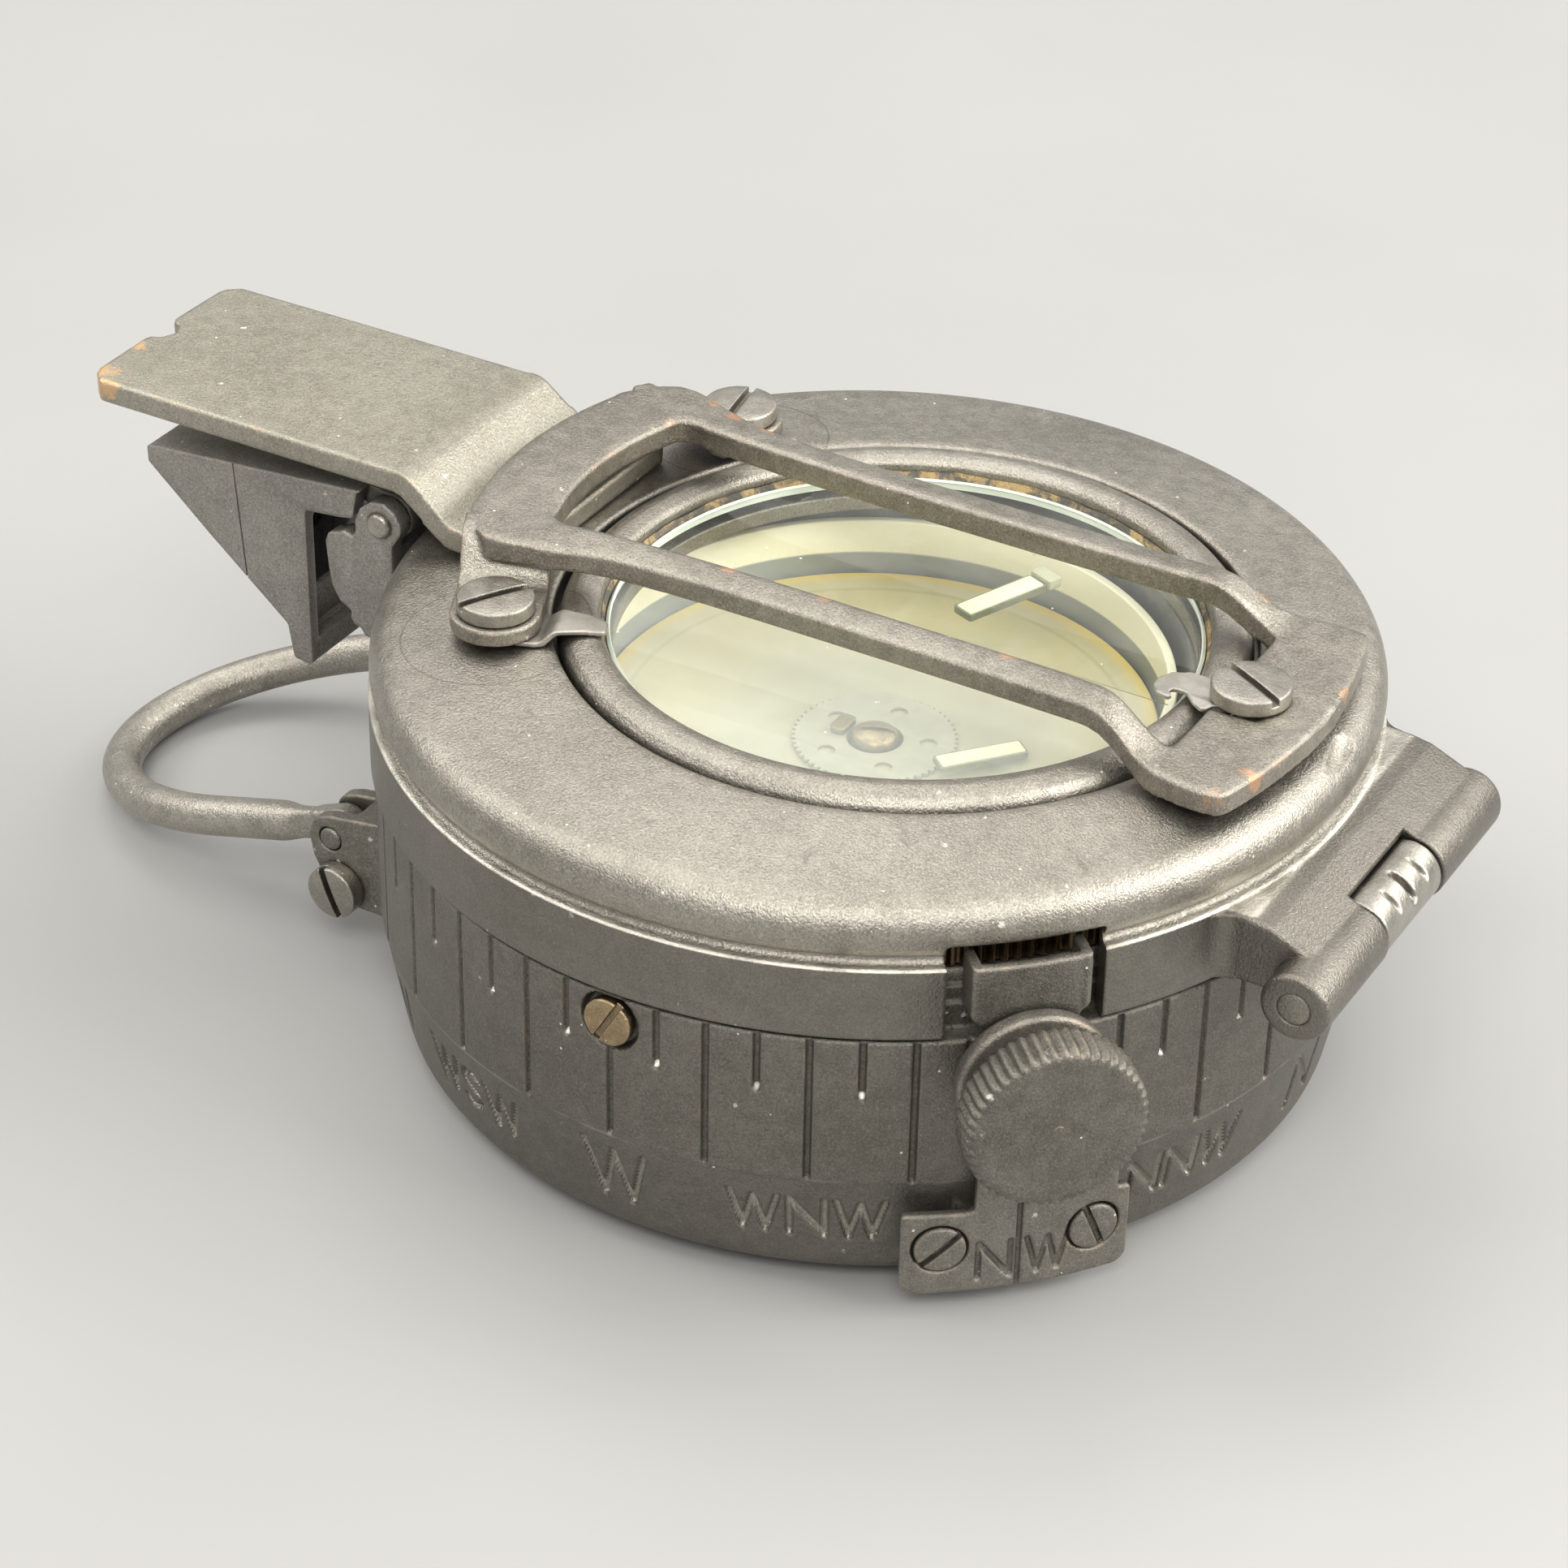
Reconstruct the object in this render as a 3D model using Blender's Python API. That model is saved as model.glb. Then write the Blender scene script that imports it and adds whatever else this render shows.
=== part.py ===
"""Sighting compass with a folding-prism rear sight, a glazed head, a notched
drum and a thumb loop.  Millimetres in the numbers below, metres in the scene.

Frame: +Z up, origin on the drum's axis in the plane the base rests on.
+X is the line of sight towards the lid hinge, -X is the prism and thumb loop.
"""
import math

import bmesh
import bpy
from mathutils import Matrix, Vector

MM = 0.001

# ------------------------------------------------------------ driving sizes
Z_SKIRT = 18.7            # lower edge of the head's skirt
DRUM_R = 29.9             # grooved drum wall
DRUM_R_LOW = 28.7         # drum at its lower edge
Z_DRUM_LOW = 1.35
Z_CREASE = 8.6            # where the lettered band starts to taper
HEAD_R = 30.15            # skirt
HEAD_IN_R = 28.9
Z_LIP = 23.4
Z_RIM = 25.2              # widest line of the rounded rim
Z_TOP = 28.0              # crown of the head beside the bezel
WIN_X = 1.8               # the window sits forward of the drum's axis
WIN_R = 17.2
GLASS_R = 18.0
BEZEL_IN, BEZEL_OUT = 17.9, 20.45
Z_SEAT = 26.4             # rebate that carries the glass and bezel
Z_BEAD = 28.6
CARD_R = 16.9
Z_CARD, Z_CARD_EDGE = 18.7, 20.4     # the card is a shallow dish
SCALE_IN, SCALE_OUT, Z_SCALE = 17.2, 17.8, 24.0
BAR_TOP, BAR_T = 32.1, 1.7
END_TOP = 29.7
PAD_TOP = 29.3
SCREW_R = 2.35
BACK_SCREW = (-17.8, 13.85)
FRONT_SCREW_X = 23.9
PRISM_PIN = (-31.2, 27.2)
LOOP_PIN = (-30.7, 8.5)
LOOP_DROOP = 16.0
LOOP_A, LOOP_L, LOOP_K, LOOP_WIRE = 11.8, 10.8, 14.8, 1.3
HINGE = (33.5, 19.9)
HINGE_R = 2.1
SLEEVE_LO, SLEEVE_HI = -4.8, 2.7
CLAMP_DEG = -45.0
KNOB_Z, KNOB_R = 16.8, 5.2
SEG = 48

# ------------------------------------------------------------- scene start
for ob in list(bpy.data.objects):
    bpy.data.objects.remove(ob, do_unlink=True)


def material(name, colour, rough, metal, alpha=1.0):
    m = bpy.data.materials.new(name)
    m.use_nodes = True
    p = m.node_tree.nodes["Principled BSDF"]
    p.inputs["Base Color"].default_value = (*colour, 1.0)
    p.inputs["Roughness"].default_value = rough
    p.inputs["Metallic"].default_value = metal
    p.inputs["Alpha"].default_value = alpha
    return m


GREY = material("grey_enamel", (0.36, 0.35, 0.33), 0.45, 0.35)
BRASS = material("brass", (0.55, 0.42, 0.22), 0.35, 0.9)
STEEL = material("steel", (0.45, 0.44, 0.42), 0.35, 0.9)
GLASS = material("glass", (0.85, 0.93, 0.88), 0.05, 0.0, 0.4)
CREAM = material("cream_enamel", (0.83, 0.8, 0.62), 0.5, 0.0)
CARD = material("card_varnish", (0.6, 0.56, 0.36), 0.5, 0.0)
LUME = material("luminous_paint", (0.75, 0.85, 0.6), 0.5, 0.0)
BLACK = material("black_oxide", (0.03, 0.03, 0.03), 0.5, 0.2)
SEALANT = material("sealing_compound", (0.3, 0.2, 0.1), 0.7, 0.0)


# ---------------------------------------------------------------- helpers
def finish(bm, name, mat, origin=(0, 0, 0), smooth=35.0, cutter=False):
    bmesh.ops.remove_doubles(bm, verts=bm.verts, dist=1e-5)
    bmesh.ops.recalc_face_normals(bm, faces=bm.faces)
    for v in bm.verts:
        v.co = (v.co - Vector(origin)) * MM
    me = bpy.data.meshes.new(name)
    bm.to_mesh(me)
    bm.free()
    me.materials.append(mat)
    me.shade_smooth()
    me.set_sharp_from_angle(angle=math.radians(smooth))
    ob = bpy.data.objects.new(name, me)
    ob.location = Vector(origin) * MM
    bpy.context.scene.collection.objects.link(ob)
    if cutter:
        ob.hide_render = True
        ob.display_type = "WIRE"
    return ob


def turned(profile, seg=SEG, centre=(0, 0)):
    """A closed (r, z) outline turned about a vertical line through centre."""
    bm = bmesh.new()
    cx, cy = centre
    rings = []
    for r, z in profile:
        if r < 1e-6:
            rings.append([bm.verts.new((cx, cy, z))])
        else:
            rings.append([bm.verts.new((cx + r * math.cos(2 * math.pi * k / seg),
                                        cy + r * math.sin(2 * math.pi * k / seg), z))
                          for k in range(seg)])
    for i, p in enumerate(rings):
        q = rings[(i + 1) % len(rings)]
        if len(p) == 1 and len(q) == 1:
            continue
        if len(p) == 1 or len(q) == 1:
            a, ring = (p[0], q) if len(p) == 1 else (q[0], p)
            if abs(a.co.z - ring[0].co.z) < 1e-6:       # a flat end is one face
                bm.faces.new(ring)
                bm.verts.remove(a)
                if len(p) == 1:
                    p[0] = None
                else:
                    q[0] = None
            else:
                for k in range(seg):
                    bm.faces.new((a, ring[k], ring[(k + 1) % seg]))
            continue
        for k in range(seg):
            bm.faces.new((p[k], q[k], q[(k + 1) % seg], p[(k + 1) % seg]))
    return bm


def turned_along(profile, start, direction, seg=24):
    """A closed (r, distance) outline turned about any axis."""
    bm = turned(profile, seg)
    rot = Vector((0, 0, 1)).rotation_difference(Vector(direction).normalized())
    bmesh.ops.transform(bm, matrix=Matrix.Translation(Vector(start)) @ rot.to_matrix().to_4x4(),
                        verts=bm.verts)
    return bm


def rod(start, direction, radius, length, seg=16, twist=7.0):
    bm = turned([(0, 0), (radius, 0), (radius, length), (0, length)], seg)
    turn_z(bm, twist)
    rot = Vector((0, 0, 1)).rotation_difference(Vector(direction).normalized())
    bmesh.ops.transform(bm, matrix=Matrix.Translation(Vector(start)) @ rot.to_matrix().to_4x4(),
                        verts=bm.verts)
    return bm


def slab(points, lo, hi, axis="z"):
    """An outline extruded along one axis: z of (x,y), y of (x,z), x of (y,z)."""
    bm = bmesh.new()

    def at(p, h):
        if axis == "z":
            return (p[0], p[1], h)
        if axis == "y":
            return (p[0], h, p[1])
        return (h, p[0], p[1])

    face = bm.faces.new([bm.verts.new(at(p, lo)) for p in points])
    out = bmesh.ops.extrude_face_region(bm, geom=[face])
    move = Vector(at((0, 0), hi - lo))
    bmesh.ops.translate(bm, vec=move,
                        verts=[g for g in out["geom"] if isinstance(g, bmesh.types.BMVert)])
    return bm


def turn_z(bm, deg):
    bmesh.ops.rotate(bm, cent=(0, 0, 0), verts=bm.verts,
                     matrix=Matrix.Rotation(math.radians(deg), 3, "Z"))
    return bm


def polar(r, deg, z):
    a = math.radians(deg)
    return (r * math.cos(a), r * math.sin(a), z)


count = [0]


def cut(ob, bm, op="DIFFERENCE"):
    count[0] += 1
    tool = finish(bm, f"tool_{count[0]:02d}", GREY, cutter=True)
    mod = ob.modifiers.new(tool.name, "BOOLEAN")
    mod.operation = op
    mod.solver = "EXACT"
    mod.object = tool
    return tool


def join(ob, bm):
    return cut(ob, bm, "UNION")


def circle(cx, cy, r, n=24, a0=0.0, a1=360.0, close=False):
    steps = n if not close else n + 1
    return [(cx + r * math.cos(math.radians(a0 + (a1 - a0) * i / n)),
             cy + r * math.sin(math.radians(a0 + (a1 - a0) * i / n)))
            for i in range(steps)]


def screw(name, start, direction, head_r, head_t, shank_r, shank_l, mat,
          slot_deg=20.0, slot_w=0.7, slot_d=0.45, seg=16):
    """A cheese-head screw: start is the seat, direction points out of the head."""
    d = Vector(direction).normalized()
    base = Vector(start) - d * shank_l
    bm = turned_along([(0, 0), (shank_r, 0), (shank_r, shank_l), (head_r, shank_l),
                       (head_r, shank_l + head_t * 0.7), (head_r * 0.86, shank_l + head_t),
                       (0, shank_l + head_t)], base, d, seg)
    ob = finish(bm, name, mat)
    side = slab([(-slot_w / 2, -head_r - 1), (slot_w / 2, -head_r - 1),
                 (slot_w / 2, head_r + 1), (-slot_w / 2, head_r + 1)],
                head_t - slot_d, head_t + 1.0)
    bmesh.ops.rotate(side, cent=(0, 0, 0), verts=side.verts,
                     matrix=Matrix.Rotation(math.radians(slot_deg), 3, "Z"))
    rot = Vector((0, 0, 1)).rotation_difference(d)
    bmesh.ops.transform(side, matrix=Matrix.Translation(Vector(start)) @ rot.to_matrix().to_4x4(),
                        verts=side.verts)
    cut(ob, side)
    return ob


# ------------------------------------------------------------- lower case
drum = finish(turned([(26.8, 22.0), (28.6, 22.0), (28.6, 18.4), (DRUM_R, 18.4),
                      (DRUM_R, Z_CREASE), (DRUM_R_LOW, 2.1), (DRUM_R_LOW - 0.7, Z_DRUM_LOW),
                      (25.8, Z_DRUM_LOW), (25.8, 2.9), (21.6, 2.9), (21.6, 4.4),
                      (26.8, 4.4)]), "drum_body", GREY)
CASE_SCREW_DEG = (-90.0, 30.0, 150.0)
for a in CASE_SCREW_DEG:
    cut(drum, rod(polar(24, a, 16.65), polar(1, a, 0), 1.15, 9, 12))
    cut(drum, rod(polar(29.35, a, 16.65), polar(1, a, 0), 1.82, 4, 16))
cut(drum, rod(polar(24, CLAMP_DEG, KNOB_Z), polar(1, CLAMP_DEG, 0), 1.4, 9, 16))
for s in (-1, 1):
    cut(drum, rod(polar(24, CLAMP_DEG + 8.3 * s, 4.9), polar(1, CLAMP_DEG + 8.3 * s, 0), 0.95, 9, 12))
BASE_SCREW_DEG = (90.0, 210.0, 330.0)
BASE_SCREW_R = 23.3
for a in BASE_SCREW_DEG:
    cut(drum, rod(polar(BASE_SCREW_R, a, 1.0), (0, 0, 1), 1.0, 4.5, 12))
cut(drum, slab([(-32, -3.2), (-24, -3.2), (-24, 3.2), (-32, 3.2)], 19.4, 24))

base = finish(turned([(0, 0), (24.6, 0), (25.45, 0.85), (25.45, 2.6), (0, 2.6)]),
              "base_cover", GREY)
for a in BASE_SCREW_DEG:
    cut(base, rod(polar(BASE_SCREW_R, a, -1.0), (0, 0, 1), 0.95, 5.0, 12))
    cut(base, rod(polar(BASE_SCREW_R, a, -1.0), (0, 0, 1), 1.8, 2.35, 16))
for i, a in enumerate(BASE_SCREW_DEG):
    screw(f"base_screw_{i + 1}", polar(BASE_SCREW_R, a, 1.05), (0, 0, -1), 1.5, 0.85, 0.65, 2.6, STEEL,
          slot_deg=15 + 40 * i, slot_w=0.5, slot_d=0.35, seg=12)

bridge = finish(turned([(0, 4.75), (26.3, 4.75), (26.3, 5.75), (3.6, 5.75), (3.0, 7.6), (0, 7.6)], 48),
                "pivot_bridge", BRASS)
cut(bridge, rod((0, 0, 4.0), (0, 0, 1), 1.35, 6, 16))
for a in (30, 150, 270):
    cut(bridge, rod(polar(15.5, a, 4.0), (0, 0, 1), 6.5, 3, 16))
for a in BASE_SCREW_DEG:
    cut(bridge, rod(polar(BASE_SCREW_R, a, 4.0), (0, 0, 1), 1.6, 3, 10))

finish(turned([(0, 3.4), (2.2, 3.4), (2.2, 4.4), (1.05, 4.4), (1.05, 12.0), (0.8, 15.5),
               (0.28, 17.9), (0.0, 18.25)], 20), "pivot_post", STEEL)

bowl = finish(turned([(4.2, 6.05), (19.2, 6.05), (19.2, 25.1), (18.5, 25.1), (18.5, 6.9), (4.2, 6.9)]),
              "inner_bowl", GREY)
cut(bowl, slab([(-24, -3.4), (-10, -3.4), (-10, 3.4), (-24, 3.4)], 19.0, 30))

# --------------------------------------------------------- card and needle
card = finish(turned([(1.75, Z_CARD - 0.5), (5.0, Z_CARD - 0.5), (CARD_R, Z_CARD_EDGE - 0.5),
                      (CARD_R, Z_CARD_EDGE), (5.0, Z_CARD), (1.75, Z_CARD)], 48),
              "compass_card", CARD)
finish(turned([(SCALE_IN, Z_CARD_EDGE - 0.5), (SCALE_OUT, Z_CARD_EDGE - 0.5), (SCALE_OUT, Z_SCALE),
               (SCALE_IN, Z_SCALE)], 48), "scale_ring", CREAM)
cap = finish(turned([(0.7, 17.5), (1.4, 17.5), (1.4, 19.1), (1.15, 19.5), (0, 19.6),
                     (0, 18.95), (0.7, 18.4)], 20), "jewel_cap", BRASS)
cut(cap, slab([(-2, -0.2), (2, -0.2), (2, 0.2), (-2, 0.2)], 19.3, 20.5))
for i, y in enumerate((-4.6, 4.6)):
    finish(slab([(-11, y - 1), (11, y - 1), (11.6, y), (11, y + 1), (-11, y + 1), (-11.6, y)],
                16.3, 17.9), f"card_magnet_{i + 1}", STEEL)


def bar_outline(p, q, w):
    (x0, y0), (x1, y1) = p, q
    d = Vector((x1 - x0, y1 - y0)).normalized()
    n = Vector((-d.y, d.x)) * (w / 2)
    return [(x0 - n.x, y0 - n.y), (x1 - n.x, y1 - n.y), (x1 + n.x, y1 + n.y), (x0 + n.x, y0 + n.y)]


finish(slab(bar_outline((5.24, -1.92), (8.81, 2.4), 1.5), 19.6, 20.05), "north_strip", LUME)

# ------------------------------------------------------------------- head
head = finish(turned([(0, Z_SKIRT), (HEAD_R, Z_SKIRT), (HEAD_R, Z_LIP - 0.15),
                      (29.95, Z_LIP), (29.6, Z_LIP + 0.05), (29.5, 24.0), (29.78, 24.7),
                      (30.0, Z_RIM), (29.85, 26.0), (29.4, 26.65), (28.8, 27.05),
                      (28.0, 27.25), (BEZEL_OUT + 0.3, Z_TOP), (0, Z_TOP)]),
              "head_case", GREY)
HX, HZ = HINGE
join(head, slab([(24.0, Z_SKIRT + 0.2), (24.0, 23.25), (29.9, 23.25), (31.4, 22.55), (33.0, 21.7),
                 (33.5, 20.0), (32.0, Z_SKIRT + 0.2)], -11.1, 11.1, "y"))
join(head, rod((HX, -13.3, HZ), (0, 1, 0), HINGE_R, 25.0, 24))
# cavity under the crown, open at the bottom
cut(head, turned([(0, 10), (HEAD_IN_R, 10), (HEAD_IN_R, 24.9), (28.3, 25.4), (0, 25.4)]))
cut(head, turned([(0, Z_SEAT), (BEZEL_OUT + 0.3, Z_SEAT), (BEZEL_OUT + 0.3, 32), (0, 32)],
                 centre=(WIN_X, 0)))
cut(head, turned([(0, 20), (WIN_R, 20), (WIN_R, 32), (0, 32)], centre=(WIN_X, 0)))
# opening for the clamp at the north-west mark
cut(head, turn_z(slab([(26, -4.5), (34, -4.5), (34, 4.5), (26, 4.5)], 15, 24.6), CLAMP_DEG))
# gap between the outer hinge knuckles, and the pin's bore
cut(head, slab([(31.0, SLEEVE_LO - 0.3), (38, SLEEVE_LO - 0.3), (38, SLEEVE_HI + 0.3), (31.0, SLEEVE_HI + 0.3)], 10, 30))
cut(head, rod((HX, -20, HZ), (0, 1, 0), 1.0, 40, 16))
for s in (-1, 1):
    cut(head, rod((BACK_SCREW[0], s * BACK_SCREW[1], 20), (0, 0, 1), 1.15, 12, 12))
    cut(head, rod((BACK_SCREW[0] + 0.4, s * (BACK_SCREW[1] - 0.4), 27.7), (0, 0, 1), 5.6, 3, 32))
cut(head, rod((FRONT_SCREW_X, 0, 20), (0, 0, 1), 1.15, 12, 12))
# window that the prism reads the scale through
cut(head, rod((-36, 0, 22.4), (1, 0, 0), 2.7, 12, 20))

# nail nick in the rim beside the guard's free end
cut(head, rod((30.6, 3.2, 27.6), (0.25, -1, 0), 1.3, 4.5, 16))

ring = finish(turned([(26.2, 22.35), (28.45, 22.35), (28.45, 24.8), (26.2, 24.8)]), "toothed_ring", BRASS)
cut(ring, slab([(-2, 0), (-40, 22), (-40, -22)], 20, 27))
finish(turned([(0, 24.9), (2.35, 24.9), (2.35, 26.1), (1.6, 26.5), (0, 26.7)], 20), "tmp_lens", GLASS)
lens = bpy.data.objects["tmp_lens"]
lens.name = "scale_lens"
lens.data.name = "scale_lens"
lens.matrix_world = (Matrix.Translation(Vector((-4.6, 0, 22.4)) * MM)
                     @ Matrix.Rotation(math.radians(-90), 4, "Y"))

finish(turned([(18.35, Z_SEAT + 0.3), (18.35, 27.8), (BEZEL_IN, 27.8), (17.98, 28.3), (18.4, 28.52),
               (18.95, Z_BEAD), (19.6, 28.5), (20.2, 28.1), (BEZEL_OUT, 27.5),
               (BEZEL_OUT, Z_SEAT + 0.3)], centre=(WIN_X, 0)), "bezel_ring", GREY)
finish(turned([(0, Z_SEAT + 0.3), (GLASS_R, Z_SEAT + 0.3), (GLASS_R, 27.5), (0, 27.5)], 48, centre=(WIN_X, 0)),
       "cover_glass", GLASS)
finish(slab(bar_outline((3.04, 4.74), (5.27, 10.35), 1.6), 25.9, 26.4), "index_strip", LUME)

# -------------------------------------------------- guard over the window
def guard():
    top = BAR_TOP
    rows = []
    for i in range(11):                       # rear crossbar, an arc about the axis
        a = 204.0 - 48.0 * i / 10
        rows.append((polar(19.4, a, 0)[:2], polar(24.5, a, 0)[:2]))
    side = [((-16.9, 7.2), (-19.6, 11.4)), ((-15.2, 6.9), (-15.4, 9.6)), ((-10, 6.6), (-10, 8.9)),
            ((0, 6.5), (0, 8.75)), ((10, 6.5), (10, 8.75)), ((16.0, 6.6), (17.0, 8.8)),
            ((18.2, 6.75), (19.4, 9.0)), ((19.9, 6.9), (21.4, 9.6)), ((21.2, 7.0), (23.6, 10.1)),
            ((22.3, 7.1), (25.2, 10.3)), ((22.3, 6.0), (26.6, 9.9))]
    side += [((22.3, 4.2), (27.6, 6.9)), ((22.3, 2.2), (28.2, 3.6)), ((25.0, 2.15), (28.35, 1.6))]
    rows += side
    rows.append(((25.0, 0.0), (28.4, 0.0)))
    rows += [((a[0], -a[1]), (b[0], -b[1])) for a, b in reversed(side)]

    def z_at(x):
        t = min(max((x - 18.2) / 4.6, 0.0), 1.0)
        t = t * t * (3 - 2 * t)
        return top + (END_TOP - top) * t

    bm = bmesh.new()
    ring = []
    for a, b in rows:
        ring.append([bm.verts.new((a[0], a[1], z_at(a[0]))), bm.verts.new((b[0], b[1], z_at(b[0]))),
                     bm.verts.new((b[0], b[1], z_at(b[0]) - BAR_T + 0.2)),
                     bm.verts.new((a[0], a[1], z_at(a[0]) - BAR_T + 0.2))])
    n = len(ring)
    for i in range(n):
        p, q = ring[i], ring[(i + 1) % n]
        for k in range(4):
            bm.faces.new((p[k], p[(k + 1) % 4], q[(k + 1) % 4], q[k]))
    return bm


frame = finish(guard(), "sight_guard", GREY)
for s in (-1, 1):
    u = Vector((0.42, 0.907 * s, 0)).normalized()
    path = [(-6.2, BAR_TOP), (-4.9, 32.0), (-4.1, 31.4), (-3.1, 29.6), (-2.75, PAD_TOP), (2.75, PAD_TOP)]
    low = [(2.75, 28.5), (-3.1, 28.5), (-3.7, 28.9), (-4.6, 30.3), (-5.2, 30.7), (-6.2, 30.6)]
    bm = slab(path + low, -2.6, 2.6, "y")
    m = Matrix(((u.x, -u.y, 0, BACK_SCREW[0]), (u.y, u.x, 0, s * BACK_SCREW[1]), (0, 0, 1, 0), (0, 0, 0, 1)))
    bmesh.ops.transform(bm, matrix=m, verts=bm.verts)
    join(frame, bm)
for s in (-1, 1):
    # round the pad's end
    u = Vector((0.42, 0.907 * s, 0)).normalized()
    sector = circle(0, 0, 2.72, 14, -88, 88, True) + circle(0, 0, 6.5, 6, 88, -88, True)
    bm = slab(sector, 26, 31)
    m = Matrix(((u.x, -u.y, 0, BACK_SCREW[0]), (u.y, u.x, 0, s * BACK_SCREW[1]), (0, 0, 1, 0), (0, 0, 0, 1)))
    bmesh.ops.transform(bm, matrix=m, verts=bm.verts)
    cut(frame, bm)
    cut(frame, rod((BACK_SCREW[0], s * BACK_SCREW[1], 26), (0, 0, 1), 1.15, 6, 12))

screw("guard_screw_near", (BACK_SCREW[0], -BACK_SCREW[1], PAD_TOP + 0.3), (0, 0, 1), SCREW_R, 0.65, 0.85, 4.5,
      STEEL, slot_deg=62)
screw("guard_screw_far", (BACK_SCREW[0], BACK_SCREW[1], PAD_TOP + 0.3), (0, 0, 1), SCREW_R, 0.65, 0.85, 4.5,
      STEEL, slot_deg=10)
screw("guard_screw_front", (FRONT_SCREW_X, 0, END_TOP + 0.3), (0, 0, 1), SCREW_R, 0.8, 0.85, 4.5, STEEL,
      slot_deg=-100)


for s, label in ((-1, "near"), (1, "far")):
    # a leaf from under the guard's pad out over the bezel
    d = Vector((0.938, -0.347 * s, 0)).normalized()
    bm = slab([(1.45, 28.22), (2.6, 28.22), (2.92, 28.35), (3.08, 29.25), (5.8, 29.25), (6.2, 29.6), (6.45, 29.45),
               (6.0, 28.92), (3.42, 28.92), (3.22, 28.15), (3.05, 27.95), (1.45, 27.95)], -1.9, 1.9, "y")
    m = Matrix(((d.x, -d.y, 0, BACK_SCREW[0]), (d.y, d.x, 0, s * BACK_SCREW[1]), (0, 0, 1, 0), (0, 0, 0, 1)))
    bmesh.ops.transform(bm, matrix=m, verts=bm.verts)
    finish(bm, f"glass_clip_{label}", STEEL)
front_clip = finish(slab([(24.7, 29.35), (22.6, 29.35), (22.2, 28.95), (18.9, 28.9), (18.6, 29.25), (18.3, 29.4), (18.75, 29.25), (22.0, 29.3), (22.4, 29.7), (24.7, 29.7)],
                         -1.8, 1.8, "y"), "glass_clip_front", STEEL)
cut(front_clip, rod((FRONT_SCREW_X, 0, 26), (0, 0, 1), 1.15, 6, 12))

# --------------------------------------------- rear leaf with its V notch
HOOD_OUT, HOOD_BEND, HOOD_ROOT = -52.3, -28.4, -25.0
hood = finish(slab([(HOOD_OUT, 32.0), (HOOD_BEND, 32.1), (-27.9, 31.95), (HOOD_ROOT, 29.55), (-20.2, 29.5),
                    (-20.2, 28.35), (-25.4, 28.35), (-28.6, 30.55), (HOOD_OUT, 30.55)], -7.5, 7.5, "y"),
              "rear_leaf", GREY)
cut(hood, slab([(HOOD_OUT - 1, -1.7), (HOOD_OUT + 1.3, 0.0), (HOOD_OUT - 1, 1.7)], 28, 34))
cut(hood, turned([(0, 27), (20.9, 27), (20.9, 30), (0, 30)], 64, centre=(WIN_X, 0)))

# --------------------------------------------------- prism and its bracket
PX, PZ = PRISM_PIN
outline = [(-48.8, 27.7), (-48.7, 26.5), (-44.5, 22.9), (-38.4, 18.0), (-38.1, 15.5), (-36.8, 15.4),
           (-36.8, 26.6), (-34.2, 26.9), (-33.2, 27.1), (-32.85, 29.0), (-32.4, 29.15)]
housing = finish(slab(outline, -6.5, 6.5, "y"), "prism_housing", GREY)
cut(housing, slab([(-47.3, 26.7), (-38.4, 19.2), (-37.8, 16.6), (-37.8, 27.6)], -5.4, 5.4, "y"))
cut(housing, slab([(-36.9, 14.0), (-36.9, 28.0), (-30.5, 28.3), (-30.5, 14.0)], -5.4, 5.4, "y"))
join(housing, slab([(-33.6, 27.8), (-33.4, 29.1), (-31.0, 28.5), (-32.0, 27.4)], -5.1, 5.1, "y"))
join(housing, rod((PX, -5.1, PZ), (0, 1, 0), 1.45, 10.2, 20))
cut(housing, rod((PX, -9, PZ), (0, 1, 0), 0.85, 18, 16))
# reading window in the front wall and eye slot in the roof
cut(housing, slab([(-4.2, 17.6), (4.2, 17.6), (4.2, 25.8), (-4.2, 25.8)], -38.2, -35.5, "x"))
cut(housing, slab([(-44.0, -2.6), (-40.0, -2.6), (-40.0, 2.6), (-44.0, 2.6)], 26, 30))
finish(slab([(-46.0, 26.4), (-38.1, 19.8), (-38.1, 27.1)], -5.1, 5.1, "y"), "prism_glass", GLASS)

cheek = [(-35.3, 24.9), (-34.6, 25.9), (-33.2, 25.95), (-32.9, 27.0), (-32.5, 28.0), (-31.8, 28.65),
         (-30.9, 28.75), (-30.1, 28.3), (-29.65, 27.5), (-29.7, 26.9), (-30.35, 25.9), (-30.45, 18.9),
         (-33.1, 18.9), (-33.8, 20.4)]
bracket = finish(slab(cheek, -6.5, -5.4, "y"), "prism_bracket", GREY)
join(bracket, slab(cheek, 5.4, 6.5, "y"))
join(bracket, slab([(-31.3, 18.9), (-31.3, 25.3), (-30.46, 25.3), (-30.46, 18.9)], -6.0, 6.0, "y"))
cut(bracket, rod((PX, -9, PZ), (0, 1, 0), 0.85, 18, 16))
cut(bracket, rod((-36, 0, 22.4), (1, 0, 0), 2.7, 12, 20))
for s in (-1, 1):
    cut(bracket, rod((-36, s * 4.1, 20.4), (1, 0, 0), 0.75, 12, 12))
    cut(head, rod((-36, s * 4.1, 20.4), (1, 0, 0), 0.75, 8, 12))
    screw(f"bracket_screw_{'near' if s < 0 else 'far'}", (-31.6, s * 4.1, 20.4), (-1, 0, 0),
          1.0, 0.6, 0.45, 2.5, STEEL, slot_w=0.3, slot_d=0.3, seg=10)
finish(rod((PX, -6.9, PZ), (0, 1, 0), 0.55, 13.8, 14), "prism_pin", STEEL)

# -------------------------------------------------------------- thumb loop
LX, LZ = LOOP_PIN
th = math.radians(LOOP_DROOP)


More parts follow.
